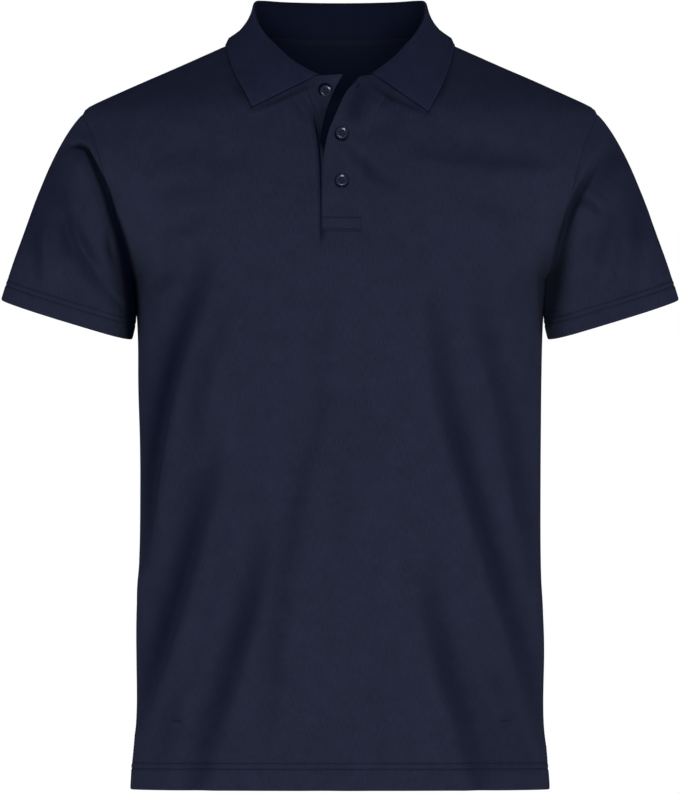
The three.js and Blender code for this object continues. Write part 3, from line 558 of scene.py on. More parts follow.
def cloth(
    name, points, normals, thickness, finish, keep=None, closed=False, thin=None, painted_shade=None, round_edge=0.0
):
    """A piece of cloth through a grid of outer points, in millimetres."""
    # keep leaves squares of the grid out, and closed joins its first and last columns. thin is the share of
    # the thickness in each row, and the argument after it is how much painted shade each point takes.
    count_j, count_i = points.shape[:2]
    uv_grid = ground_distance(points)
    sheet = bmesh.new()
    bmesh.ops.create_grid(sheet, x_segments=count_i - 1, y_segments=count_j - 1, size=0.5)
    uv = sheet.loops.layers.uv.new("cloth")
    weight = sheet.verts.layers.deform.verify()
    # A layer with the painted shade of each vertex, by which the materials go darker.
    depth = sheet.verts.layers.float.new("painted_shade")
    place = {}
    for vert in sheet.verts:
        i = round((vert.co.x + 0.5) * (count_i - 1))
        j = round((vert.co.y + 0.5) * (count_j - 1))
        place[vert] = (j, i)
        vert.co = points[j, i] * MM
    for vert, (j, i) in place.items():
        vert[weight][0] = 1.0 if thin is None else float(thin[j])
        vert[depth] = 0.0 if painted_shade is None else float(painted_shade[j, i])
    facing = 0.0
    gone = []
    for face in sheet.faces:
        face.normal_update()
        face.smooth = True
        j, i = (min(place[v][n] for v in face.verts) for n in (0, 1))
        facing += face.normal.dot(Vector(normals[j, i]))
        if keep is not None and not keep(j, i):
            gone.append(face)
        for loop in face.loops:
            loop[uv].uv = uv_grid[place[loop.vert]]
    if facing < 0:
        bmesh.ops.reverse_faces(sheet, faces=sheet.faces)
    bmesh.ops.delete(sheet, geom=gone, context="FACES")
    area = sum(face.calc_area() for face in sheet.faces)
    if closed:
        bmesh.ops.remove_doubles(sheet, verts=sheet.verts, dist=1e-6)
    mesh = bpy.data.meshes.new(name)
    sheet.to_mesh(mesh)
    sheet.free()
    piece = bpy.data.objects.new(name, mesh)
    bpy.context.scene.collection.objects.link(piece)
    for material in finish:
        mesh.materials.append(material)
    piece.vertex_groups.new(name="thickness")
    wall = piece.modifiers.new("wall", "SOLIDIFY")
    wall.material_offset = 1
    wall.thickness = thickness * MM
    wall.offset = -1
    wall.vertex_group = "thickness"
    if round_edge:
        edge = piece.modifiers.new("edge", "BEVEL")
        edge.width = round_edge * MM
        edge.segments = 2
        edge.limit_method = "ANGLE"
        edge.angle_limit = math.radians(BEVEL_FROM)
    bpy.context.view_layer.update()
    made = bpy.data.meshes.new_from_object(piece.evaluated_get(bpy.context.evaluated_depsgraph_get()))
    piece.modifiers.clear()
    piece.data = made
    piece.vertex_groups.clear()
    made.set_sharp_from_angle(angle=math.radians(SHARP_CLOTH))
    print(name, len(made.polygons), "faces,", round(area, 4), "square metres of cloth")
    return piece


def evenly(low, high, steps):
    return np.linspace(low, high, steps + 1)


BESIDE_EDGE = (0.7, 1.6, 3.0)


def edged(low, high, spacing):
    """Places from low to high, closer together beside both ends."""
    ends = [low, *(low + n for n in BESIDE_EDGE)], [high, *(high - n for n in BESIDE_EDGE)][::-1]
    middle = evenly(ends[0][-1], ends[1][0], int((high - low) / spacing))
    return np.concatenate([ends[0][:-1], middle, ends[1][1:]])


# %% [markdown]
# ## Knit, rib and resin
# Cotton jersey is made of columns of V-shaped loops less than a millimetre wide. Painting them as an image
# would not hold at every distance, so two shader groups make them from each piece's UV map, which is in
# metres: one draws the loops of the jersey, the other the fine ribs of the collar. A third group gives the
# slow unevenness of dyed cotton.


# %% Shader groups
def group(name, inputs, outputs):
    """A new shader group with number inputs and outputs, and its two end nodes."""
    tree = bpy.data.node_groups.new(name, "ShaderNodeTree")
    for label, value in inputs:
        socket = tree.interface.new_socket(label, in_out="INPUT", socket_type="NodeSocketFloat")
        socket.default_value = value
    for label in outputs:
        tree.interface.new_socket(label, in_out="OUTPUT", socket_type="NodeSocketFloat")
    return tree, tree.nodes.new("NodeGroupInput"), tree.nodes.new("NodeGroupOutput")


def sum_node(tree, operation, *values):
    """One sum in a shader: each value is a number or another node's socket."""
    node = tree.nodes.new("ShaderNodeMath")
    node.operation = operation
    for socket, value in zip(node.inputs, values):
        if isinstance(value, (int, float)):
            socket.default_value = value
        else:
            tree.links.new(value, socket)
    return node.outputs[0]


def cloth_axes(tree):
    """Metres across and along the cloth, from its UV map."""
    place = tree.nodes.new("ShaderNodeTexCoord")
    split = tree.nodes.new("ShaderNodeSeparateXYZ")
    tree.links.new(place.outputs["UV"], split.inputs[0])
    return split.outputs["X"], split.outputs["Y"]


loops, given, result = group("jersey_loops", (("Wale", 0.0009), ("Course", 0.0007)), ("Height",))
u, v = cloth_axes(loops)
wale = sum_node(loops, "DIVIDE", u, given.outputs["Wale"])
course = sum_node(loops, "DIVIDE", v, given.outputs["Course"])
off_middle = sum_node(loops, "ABSOLUTE", sum_node(loops, "SUBTRACT", sum_node(loops, "FRACT", wale), 0.5))
slanted = sum_node(loops, "ADD", course, sum_node(loops, "MULTIPLY", off_middle, 1.4))
loop_wave = sum_node(loops, "SINE", sum_node(loops, "MULTIPLY", slanted, math.pi))
loop_arch = sum_node(loops, "ABSOLUTE", loop_wave)
beside_wale = sum_node(loops, "POWER", sum_node(loops, "MULTIPLY", off_middle, 2.0), 3.0)
column_arch = sum_node(loops, "SUBTRACT", 1.0, beside_wale)
loops.links.new(sum_node(loops, "MULTIPLY", loop_arch, column_arch), result.inputs["Height"])

ribs, given, result = group("collar_ribs", (("Rib", 0.0016), ("Course", 0.0009)), ("Height",))
u, v = cloth_axes(ribs)
across_rib = sum_node(ribs, "MULTIPLY", sum_node(ribs, "DIVIDE", v, given.outputs["Rib"]), 2 * math.pi)
rib_arch = sum_node(ribs, "MULTIPLY", sum_node(ribs, "ADD", sum_node(ribs, "COSINE", across_rib), 1.0), 0.5)
course_wave = sum_node(ribs, "MULTIPLY", sum_node(ribs, "DIVIDE", u, given.outputs["Course"]), 2 * math.pi)
small_wave = sum_node(ribs, "MULTIPLY", sum_node(ribs, "SINE", course_wave), 0.18)
ribs.links.new(sum_node(ribs, "ADD", rib_arch, small_wave), result.inputs["Height"])

DYE_SIZES = (("Patch", 55.0), ("Fleck", 1300.0), ("Streak", 1100.0))
PATCH_SHARE, FLECK_SHARE, STREAK_SHARE = 0.22, 0.36, 0.42
dye, given, result = group("dyed_cotton", DYE_SIZES, ("Shade", "Grain"))
spot = dye.nodes.new("ShaderNodeTexCoord")
patches, flecks, streaks = (dye.nodes.new("ShaderNodeTexNoise") for _ in range(3))
for texture, label, detail in ((patches, "Patch", 3.0), (flecks, "Fleck", 2.0), (streaks, "Streak", 2.0)):
    dye.links.new(given.outputs[label], texture.inputs["Scale"])
    texture.inputs["Detail"].default_value = detail
dye.links.new(spot.outputs["Object"], patches.inputs["Vector"])
dye.links.new(spot.outputs["Object"], flecks.inputs["Vector"])
# Yarn that is a little thicker or thinner shows as faint streaks along the wales.
u, v = cloth_axes(dye)
drawn_out = dye.nodes.new("ShaderNodeCombineXYZ")
dye.links.new(u, drawn_out.inputs["X"])
dye.links.new(sum_node(dye, "MULTIPLY", v, 0.13), drawn_out.inputs["Y"])
dye.links.new(drawn_out.outputs[0], streaks.inputs["Vector"])
patch = sum_node(dye, "MULTIPLY", patches.outputs["Fac"], PATCH_SHARE)
fleck = sum_node(dye, "MULTIPLY", flecks.outputs["Fac"], FLECK_SHARE)
streak = sum_node(dye, "MULTIPLY", streaks.outputs["Fac"], STREAK_SHARE)
shade = sum_node(dye, "ADD", sum_node(dye, "ADD", patch, fleck), streak)
dye.links.new(shade, result.inputs["Shade"])
dye.links.new(flecks.outputs["Fac"], result.inputs["Grain"])
print("shader groups:", [g.name for g in bpy.data.node_groups])

# %% [markdown]
# ## Painted shade in the cloth, and the finishes
# The deep folds of navy cotton look almost black, darker than light between smooth surfaces makes them, so
# their shade is painted into the colour. Painted on a finished piece, it would drift off the folds when they
# change, so each piece carries a painted shade at every vertex, worked out from the same curves as its folds
# and seams, and its material goes darker by it. Cloth that turns away from the eye takes painted shade too.
# The back inside the neck takes painted shade, and the whole inside glows faintly, painted light for the
# trace that comes through the knit. The buttons are resin, a swirl of two navies under a clear gloss.

# %% Materials
NAVY_DEEP, NAVY_LIGHT = (0.0134, 0.0159, 0.0313), (0.0236, 0.0276, 0.0513)
COLLAR_DEEP, COLLAR_LIGHT = (0.0116, 0.0137, 0.0300), (0.0200, 0.0235, 0.0482)
TAPE_DEEP, TAPE_LIGHT = (0.0072, 0.0088, 0.0215), (0.0125, 0.0150, 0.0345)
THREAD_DEEP, THREAD_LIGHT = (0.0065, 0.0078, 0.018), (0.0115, 0.0132, 0.028)
# Painted shadow: dark beads along each buttonhole stand for the shade in its cut.
SLIT_DEEP, SLIT_LIGHT = (0.002, 0.002, 0.005), (0.003, 0.003, 0.007)
RESIN_DEEP, RESIN_LIGHT = (0.007, 0.009, 0.018, 1), (0.020, 0.024, 0.043, 1)
# The colour that painted shade darkens the cloth towards.
PAINTED_SHADE_NAVY = (0.0014, 0.0026, 0.0105, 1)
# The shade of the dyed cotton stays near its middle, so the ramp runs over this part of it only.
SHADE_FROM, SHADE_TO = 0.355, 0.645
KNIT_RELIEF = 0.0003
# Painted shade: how far cloth darkens as it turns away from the eye.
RIM = {"From Min": 0.8, "From Max": 0.97, "To Min": 0.0, "To Max": 0.85}
# The inside takes painted shade above these heights, in metres.
NECK_SHADE, NECK_LEVELS = (0.0043, 0.0058, 0.0165, 1), {"From Min": -0.064, "From Max": -0.05}
# A faint painted glow on the inside of the cloth.
PAINTED_INSIDE_GLOW = (0.0012, 0.0016, 0.0046, 1)


def place_group(tree, source, **values):
    node = tree.nodes.new("ShaderNodeGroup")
    node.node_tree = source
    for label, value in values.items():
        node.inputs[label].default_value = value
    return node


def darkened(tree, colour, share, dark):
    """A colour mixed towards a darker one by a share from 0 to 1."""
    mix = tree.nodes.new("ShaderNodeMix")
    mix.data_type = "RGBA"
    tree.links.new(share, mix.inputs["Factor"])
    tree.links.new(colour, mix.inputs["A"])
    mix.inputs["B"].default_value = dark
    return mix.outputs["Result"]


def map_range(tree, value, settings):
    """A value eased from one range to another."""
    node = tree.nodes.new("ShaderNodeMapRange")
    node.interpolation_type = "SMOOTHSTEP"
    tree.links.new(value, node.inputs["Value"])
    for label, number in settings.items():
        node.inputs[label].default_value = number
    return node.outputs["Result"]


def cotton(name, deep, light, knit, bump, roughness=0.88, sheen=0.02, painted_inside=False):
    """A dyed cotton, its colour wandering a little, with painted shade in hollows and where it turns away."""
    material = bpy.data.materials.new(name)
    material.use_nodes = True
    tree = material.node_tree
    surface = tree.nodes["Principled BSDF"]
    surface.inputs["Roughness"].default_value = roughness
    surface.inputs["Sheen Roughness"].default_value = 0.45
    surface.inputs["Sheen Tint"].default_value = (0.55, 0.6, 0.85, 1)
    dyed = place_group(tree, dye)
    ramp = tree.nodes.new("ShaderNodeValToRGB")
    ramp.color_ramp.elements[0].position, ramp.color_ramp.elements[1].position = SHADE_FROM, SHADE_TO
    ramp.color_ramp.elements[0].color, ramp.color_ramp.elements[1].color = (*deep, 1), (*light, 1)
    tree.links.new(dyed.outputs["Shade"], ramp.inputs["Fac"])
    painted_shade = tree.nodes.new("ShaderNodeAttribute")
    painted_shade.attribute_name = "painted_shade"
    turned_away = tree.nodes.new("ShaderNodeLayerWeight")
    rim = map_range(tree, turned_away.outputs["Facing"], RIM)
    shaded = sum_node(tree, "MAXIMUM", painted_shade.outputs["Fac"], rim)
    lit = sum_node(tree, "SUBTRACT", 1.0, shaded)
    tree.links.new(sum_node(tree, "MULTIPLY", lit, 0.1), surface.inputs["Specular IOR Level"])
    tree.links.new(sum_node(tree, "MULTIPLY", lit, sheen), surface.inputs["Sheen Weight"])
    colour = ramp.outputs["Color"]
    if painted_inside:
        place, parts = tree.nodes.new("ShaderNodeTexCoord"), tree.nodes.new("ShaderNodeSeparateXYZ")
        tree.links.new(place.outputs["Object"], parts.inputs["Vector"])
        colour = darkened(tree, colour, map_range(tree, parts.outputs["Z"], NECK_LEVELS), NECK_SHADE)
        # The inside glows faintly, painted light for the trace that a thin knit lets through, so that it is
        # never quite black.
        surface.inputs["Emission Color"].default_value = PAINTED_INSIDE_GLOW
        surface.inputs["Emission Strength"].default_value = 1.0
    tree.links.new(darkened(tree, colour, shaded, PAINTED_SHADE_NAVY), surface.inputs["Base Color"])
    relief = tree.nodes.new("ShaderNodeBump")
    relief.inputs["Strength"].default_value = bump
    relief.inputs["Distance"].default_value = KNIT_RELIEF
    total = sum_node(tree, "MULTIPLY", dyed.outputs["Grain"], 0.5)
    if knit:
        total = sum_node(tree, "ADD", total, knit(tree).outputs["Height"])
    tree.links.new(total, relief.inputs["Height"])
    tree.links.new(relief.outputs["Normal"], surface.inputs["Normal"])
    return material


def looped(tree):
    return place_group(tree, loops)


def ribbed(tree):
    return place_group(tree, ribs)


def twilled(tree):
    return place_group(tree, loops, Wale=0.0006, Course=0.0012)


jersey = cotton("navy_jersey", NAVY_DEEP, NAVY_LIGHT, looped, 0.45)
jersey_inside = cotton("navy_jersey_inside", NAVY_DEEP, NAVY_LIGHT, looped, 0.45, painted_inside=True)
band_jersey = cotton("navy_band_jersey", NAVY_DEEP, NAVY_LIGHT, looped, 0.4)
collar_rib = cotton("navy_collar_rib", COLLAR_DEEP, COLLAR_LIGHT, ribbed, 0.5, roughness=0.92)
twill_tape = cotton("navy_tape", TAPE_DEEP, TAPE_LIGHT, twilled, 0.4)
thread = cotton("navy_thread", THREAD_DEEP, THREAD_LIGHT, None, 0.2, roughness=0.6)
slit_shadow_paint = cotton("slit_shadow", SLIT_DEEP, SLIT_LIGHT, None, 0.1, roughness=0.95, sheen=0.0)

resin = bpy.data.materials.new("navy_resin")
resin.use_nodes = True
resin_surface = resin.node_tree.nodes["Principled BSDF"]
resin_surface.inputs["Roughness"].default_value = 0.24
resin_surface.inputs["Coat Weight"].default_value = 0.6
resin_surface.inputs["Coat Roughness"].default_value = 0.14
swirl = resin.node_tree.nodes.new("ShaderNodeTexNoise")
swirl.inputs["Scale"].default_value = 160.0
swirl.inputs["Distortion"].default_value = 2.0
swirl_place = resin.node_tree.nodes.new("ShaderNodeTexCoord")
swirl_colour = resin.node_tree.nodes.new("ShaderNodeValToRGB")
swirl_colour.color_ramp.elements[0].color = RESIN_DEEP
swirl_colour.color_ramp.elements[1].color = RESIN_LIGHT
resin.node_tree.links.new(swirl_place.outputs["Object"], swirl.inputs["Vector"])
resin.node_tree.links.new(swirl.outputs["Fac"], swirl_colour.inputs["Fac"])
resin.node_tree.links.new(swirl_colour.outputs["Color"], resin_surface.inputs["Base Color"])
print("finishes:", [material.name for material in bpy.data.materials])

# %% [markdown]
# ## Front and back
# Both are one piece from hem to neck. The hem is turned up 26 mm and stitched down with two needles, so it
# is thicker and the two stitch lines pull shallow channels. The front is cut open for the placket. Beside
# every seam the cloth dips, as it does where two edges are sewn together and turned in. An even grid could
# do, but its squares would be either too large for the stitch lines or too many for the rest, so rows and
# columns lie closer where the cloth turns.

# %% Rows of the panels
CLOSEST_ROWS = 0.35
HEM_DEPTH = 26.0
HEM_LINES = (19.5, 25.0)
CLOTH, HEM_CLOTH = 1.3, 2.2
THREAD_SINK = 0.7

PLACKET = rows(
    "at right left upper_free under_free curl under_curl",
    (521, -17, 20, -16.4, 18, 0, 0),
    (590, -17.5, 21, -16.2, 2, 2, 4),
    (630, -20, 25, -11.6, -17.4, 6, 12),
    (669, -24.5, 33, -3, -15.8, 7, 15),
    (735, -31, 45, 6.8, -8.4, 2, 9),
    (778, -35, 54, 18.2, 3, 0, 2),
)
PANEL_ROWS = np.unique(
    np.concatenate(
        [
            edged(0, NECKLINE, 3.7),
            [h + d for h in HEM_LINES for d in (-1.2, 0, 1.2)],
            [HEM_DEPTH, HEM_DEPTH + 0.8, UNDERARM, PLACKET_BOTTOM, SHOULDER_POINT],
        ]
    )
)
PANEL_ROWS = PANEL_ROWS[np.concatenate([[True], np.diff(PANEL_ROWS) > CLOSEST_ROWS])]
print(len(PANEL_ROWS), "rows from hem to neck")

# %% [markdown]
# ## The deep fold beside each arm
# Where a sleeve hangs against the body, the sleeve and the front sink together into one long narrow fold.
# The gap between two pieces could stand for it, but in real cloth both run down into it. So each fold is
# one curve, drawn as seen from the front, and the panel and the sleeve both follow it inwards and take
# painted shade in it.

# %% Curves of the folds beside the arms
# Half is half the width of the fold in millimetres, and dark is its painted shade, from 0 to 1.
ARM_FOLDS = {
    -1: rows(
        "x z half dark",
        (-259, -111, 2.0, 0.0),
        (-252, -110.6, 2.0, 0.3),
        (-245, -112.2, 2.1, 0.52),
        (-239.4, -116.6, 2.3, 0.66),
        (-233.6, -127.6, 2.5, 0.75),
        (-226.4, -142.8, 3.1, 0.8),
        (-219.6, -159.8, 3.4, 0.84),
        (-213.6, -180.7, 4.0, 0.88),
        (-208.4, -197.7, 5.0, 0.94),
        (-203.4, -220.6, 6.2, 0.98),
        (-199.6, -245, 7.0, 1),
        (-198, -268, 7.2, 1),
        (-198.6, -294, 7.2, 1),
    ),
    1: rows(
        "x z half dark",
        (254, -107, 2.6, 0.0),
        (246.5, -118, 3.2, 0.1),
        (239, -132.4, 3.8, 0.24),
        (229, -150.3, 3.8, 0.4),
        (222, -165.5, 4.0, 0.62),
        (214.6, -184.5, 3.8, 0.48),
        (209.4, -203.4, 4.4, 0.48),
        (206, -227, 5.4, 0.5),
        (202.6, -250.8, 6.0, 0.54),
        (199.4, -268, 5.8, 0.6),
        (196, -286, 5.0, 0.66),
    ),
}
ARM_FOLD_DEPTH = {-1: 11.0, 1: 6.0}
# The fold is at its full depth wherever its painted shade is at least this dark.
FULLY_DEEP_FROM = 0.42
AROUND_FOLD, STEPS_ALONG = 14, 160
# The darkest painted shade, in the bottom of each fold beside an arm.
DEEPEST_SHADE = 0.97


def arm_fold(side, x, z):
    """How deep in the fold beside the arm a place lies, from 0 to 1, and how much painted shade it takes
    there.
    """
    table = [{**row, "at": k} for k, row in enumerate(ARM_FOLDS[side])]
    places = evenly(0, len(table) - 1, STEPS_ALONG)
    line = np.stack([column(table, name, places) for name in ("x", "z", "half", "dark")], -1)
    x, z = np.asarray(x, float), np.asarray(z, float)
    inside, dark = np.zeros(x.size), np.zeros(x.size)
    low, high = line[:, :2].min(0) - AROUND_FOLD, line[:, :2].max(0) + AROUND_FOLD
    flat_x, flat_z = x.ravel(), z.ravel()
    near = np.flatnonzero((flat_x > low[0]) & (flat_x < high[0]) & (flat_z > low[1]) & (flat_z < high[1]))
    if near.size:
        away = np.hypot(flat_x[near, None] - line[:, 0], flat_z[near, None] - line[:, 1])
        k = away.argmin(1)
        within = np.exp(-((away.min(1) / line[k, 2]) ** 4))
        inside[near] = within * np.minimum(1, line[k, 3] / FULLY_DEEP_FROM)
        dark[near] = within * line[k, 3]
    return inside.reshape(x.shape), dark.reshape(x.shape)


def on_armhole(level):
    """The fold moves the cloth beside the armhole only, and leaves the side seam where it is."""
    return ease(level, UNDERARM - 2, UNDERARM + 28)


for side, words in ((-1, "right"), (1, "left")):
    reach = ARM_FOLDS[side][0]["z"] - ARM_FOLDS[side][-1]["z"]
    print("fold beside the", words, "arm:", reach, "mm from top to bottom,", ARM_FOLD_DEPTH[side], "mm deep")


# %% Relief and painted shade of the panels
def seam_distance(panel, across, at):
    """How far places lie from the side of the panel, in millimetres."""
    half_width = 0.5 * np.pi * np.abs(plain_panel(panel, np.ones_like(at), at)[..., 0])
    return (1 - np.abs(across)) * half_width


def finish_panel(panel, across, at):
    """The folded panel with its sunk seams, its hem and the channels that the stitches pull."""
    point, normal = panel_place(panel, across, at)
    from_side = seam_distance(panel, across, at)
    open_vent = 1 - ease(at, VENT_TOP - 6, VENT_TOP + 2)
    armhole = ease(at, UNDERARM - 10, UNDERARM + 10)
    sink = (0.8 - 0.65 * armhole) * np.exp(-((from_side / 2.0) ** 2)) * (1 - open_vent)
    if panel is FRONT:
        for side, depth in ARM_FOLD_DEPTH.items():
            point[..., 1] += depth * arm_fold(side, point[..., 0], point[..., 2])[0] * on_armhole(at)
    sink = sink + 0.7 * np.exp(-(((NECKLINE - at) / 2.0) ** 2))
    for line in HEM_LINES:
        sink = sink + THREAD_SINK * np.exp(-(((at - line) / 1.0) ** 2))
    gathers = np.sin(point[..., 0] * 0.9 + 2.0 * np.sin(point[..., 0] * 0.13))
    pucker = 0.22 * gathers * np.exp(-(((at - 22) / 7.0) ** 2))
    sink = sink - 0.5 * (1 - ease(at, HEM_DEPTH, HEM_DEPTH + 1.5)) - pucker
    sink = sink + 0.7 * np.exp(-((at / 0.9) ** 2))
    return point - normal * sink[..., None], normal


# All the cloth takes a little painted shade, so that the few places that catch more light can go without it.
EVEN_PAINTED_SHADE = 0.1


def panel_painted_shade(panel, across, at, points):
    """Painted shade where stitches, seams and folds keep the light out."""
    from_side = seam_distance(panel, across, at)
    seam = 0.35 - 0.2 * ease(at, UNDERARM - 10, UNDERARM + 10)
    painted_shade = seam * np.exp(-((from_side / 1.2) ** 2)) * ease(at, VENT_TOP - 4, VENT_TOP)
    # The sides under the arms take less of the even painted shade, which paints them a little lighter.
    under_arm = ease(np.abs(across), 0.6, 0.8) * ease(at, 380, 460) * (1 - ease(at, 600, 640))
    painted_shade = np.maximum(painted_shade, EVEN_PAINTED_SHADE * (1 - 0.5 * under_arm))
    for line in HEM_LINES:
        painted_shade = np.maximum(painted_shade, 0.5 * np.exp(-(((at - line) / 0.8) ** 2)))
    x, z = points[..., 0], points[..., 2]
    shade = fold_shade(panel["folds"], x.ravel(), z.ravel()).reshape(x.shape) * (1 - np.abs(across) ** 10)
    painted_shade = 1 - (1 - painted_shade) * (1 - shade)
    beside_arm = 1.0 if panel is FRONT else ease(np.abs(across), 0.88, 1.0)
    for side in (-1, 1):
        painted_shade = np.maximum(painted_shade, DEEPEST_SHADE * arm_fold(side, x, z)[1] * beside_arm)
    return painted_shade


def side_columns(outer, inner, steps):
    """Columns from a seam inwards, closer together beside the seam and where the arm folds the cloth."""
    beside_seam = [outer * share for share in (1, 0.9975, 0.994, 0.990, 0.985, 0.98, 0.974)]
    beside_arm = evenly(outer * 0.967, outer * 0.8, 26)
    closer = 1 - (1 - evenly(0, 1, steps)) ** 1.3
    towards_middle = outer * 0.8 + (inner - outer * 0.8) * closer
    return np.unique(np.concatenate([beside_seam, beside_arm, towards_middle[1:]]))


# %% Back panel
at_grid = PANEL_ROWS[:, None]
back_across = np.concatenate([side_columns(-1, 0, 50), side_columns(1, 0, 50)[1:]])[None, :]
back_points, back_normals = finish_panel(BACK, back_across + 0 * at_grid, at_grid + 0 * back_across)
thin_rows = np.where(PANEL_ROWS <= HEM_DEPTH, 1.0, CLOTH / HEM_CLOTH)
back_painted_shade = panel_painted_shade(BACK, back_across + 0 * at_grid, at_grid + 0 * back_across, back_points)
back_panel = cloth(
    "back_panel",
    back_points,
    back_normals,
    HEM_CLOTH,
    (jersey, jersey_inside),
    thin=thin_rows,
    painted_shade=back_painted_shade,
)

# %% Front panel
SIDE_STEPS, SLOT_STEPS = 52, 6
# Two columns lie this close to the cut, so that the painted shade under the upper band's edge
# stays a thin line.
CUT_EDGE = (1.1, 2.4)
CUT_SHADE = (0.96, 0.94, 0.35)
slot_level = np.maximum(PANEL_ROWS, PLACKET_BOTTOM)
slot_right = across_at(FRONT, column(PLACKET, "right", slot_level), PANEL_ROWS)
slot_left = across_at(FRONT, column(PLACKET, "left", slot_level), PANEL_ROWS)


def front_row(right, left):
    """The columns of one row of the front, with the cut for the placket between right and left."""
    across_cut = evenly(right, left, SLOT_STEPS)[1:-1]
    right_side, left_side = side_columns(-1, right, SIDE_STEPS), side_columns(1, left, SIDE_STEPS)
    return np.concatenate([right_side, across_cut, left_side])


front_across = np.stack([front_row(right, left) for right, left in zip(slot_right, slot_left)])
first_open = int(np.searchsorted(PANEL_ROWS, PLACKET_BOTTOM))
slot_start = len(side_columns(-1, 0, SIDE_STEPS)) - 1
for step, gap in enumerate(CUT_EDGE, 1):
    beside = column(PLACKET, "right", slot_level) - gap
    front_across[:, slot_start - step] = across_at(FRONT, beside, PANEL_ROWS)
front_points, front_normals = finish_panel(FRONT, front_across, at_grid + 0 * front_across)
front_painted_shade = panel_painted_shade(FRONT, front_across, at_grid + 0 * front_across, front_points)
# Painted shade in the columns beside the cut, under the upper band's edge, fading out higher up.
below_cut = ease(PANEL_ROWS, PLACKET_BOTTOM - 16, PLACKET_BOTTOM - 2)
beside_band = ease(PANEL_ROWS, PLACKET_BOTTOM, 620)
beside_cut = np.array(CUT_SHADE)[:, None] * (0.62 * below_cut + 0.38 * beside_band)
beside_cut = beside_cut * (1 - ease(PANEL_ROWS, 640, 690))
for step, dark in enumerate(beside_cut):
    front_painted_shade[:, slot_start - step] = np.maximum(front_painted_shade[:, slot_start - step], dark)
front_panel = cloth(
    "front_panel",
    front_points,
    front_normals,
    HEM_CLOTH,
    (jersey, jersey_inside),
    keep=lambda j, i: not (j >= first_open and slot_start <= i < slot_start + SLOT_STEPS),
    thin=thin_rows,
    painted_shade=front_painted_shade,
)

# %% [markdown]
# ## Sleeves
# A set-in sleeve is a tube that starts on the slanting armhole curve and ends in a hem that rises a little to
# the outside. It could be bent from a straight tube, but then the armhole would have to be cut from it. So
# each line along it is a smooth curve that leaves the armhole one way and reaches the hem another, which is
# how a sleeve head rolls over.

# %% Points on the sleeves
SLEEVE_START = rows(
    "turn x y z",
    (0, 84, 0, -78),
    (45, 80, -26, -70),
    (90, 62, -36, -80),
    (135, 48, -12, -40),
    (180, -8, 22, -18),
    (225, 48, 12, -40),
    (270, 62, 36, -80),
    (315, 80, 26, -70),
)
CUFF = {
    "x": 263.2, "z": -276, "width": 64.5, "depth": 57, "tilt": math.radians(17),
    "full": 0.92, "boxy": 0.5, "back": 22, "drop": 2.6,
}
CUFF_LEAN = {"outside": 190, "inside": 112}
SLEEVE_HEM, SLEEVE_LINES = 21.0, (15.0, 20.0)

LEFT_SLEEVE_FOLDS = [
    fold((266, -104), (255, -124), (242, -142), (232, -158), wide=11, deep=3.4, skew=0.2, dark=0.2),
    fold((229, -158), (220, -215), (213, -292), wide=9, deep=-4),
    fold((222, -164), (232, -166), (244, -176), wide=4, deep=2.6, dark=0.26),
    fold((259, -166), (252, -192), (244, -220), wide=6, deep=3, dark=0.16),
    fold((284, -144), (283, -190), (275, -240), wide=8, deep=3.6, skew=-0.3, dark=0.2),
    fold((268, -182), (262, -214), (256, -246), wide=6, deep=2.4, dark=0.14),
    fold((236, -196), (228, -216), wide=5, deep=1.8, dark=0.12),
]
RIGHT_SLEEVE_FOLDS = [
    fold(
        (262, -110), (248, -112), (237, -122), (229, -137), (222, -155),
        wide=5, deep=3, skew=0.2, dark=0.08,
    ),
    fold((230, -158), (221, -215), (213, -292), wide=9, deep=-4),
    fold((286, -180), (286.5, -208), (283, -240), wide=5, deep=3.2, skew=0.3, dark=0.28),
    fold((264, -182), (259, -202), (251, -222), wide=4.4, deep=3.2, skew=0.3, dark=0.28),
    fold(
        (261, -150), (256, -180), (251, -201), (241, -223), (227.5, -243.5), (208, -264),
        wide=4, deep=4, skew=0.3, dark=0.3,
    ),
    fold((253, -176), (243, -198), (231, -222), wide=4.4, deep=2.6, dark=0.24),
    fold((219, -196), (217.5, -210), (216, -222), wide=4, deep=2.4, dark=0.3),
]
LEFT_BACK_FOLDS = [
    fold((240, -112), (226, -160), (214, -214), (204, -270), wide=9, deep=6),
    fold((262, -150), (250, -200), (246, -240), wide=8, deep=2.6),
    fold((288, -170), (280, -222), wide=9, deep=2.4),
    fold((232, -190), (246, -226), wide=7, deep=2),
]
RIGHT_BACK_FOLDS = [
    fold((244, -116), (228, -166), (216, -220), (203, -276), wide=9, deep=6.5),
    fold((256, -140), (252, -196), (240, -244), wide=8, deep=2.8),
    fold((286, -164), (284, -216), wide=8, deep=2.2),
    fold((228, -200), (238, -240), wide=7, deep=2.2),
]


def around(table, name, turn):
    """A column's value at a turn round the sleeve, with no corner where the turns begin again."""
    before = {**table[-1], "turn": table[-1]["turn"] - 360}
    after = [{**row, "turn": row["turn"] + 360} for row in table[:2]]
    return column([before, *table, *after], name, turn, "turn")


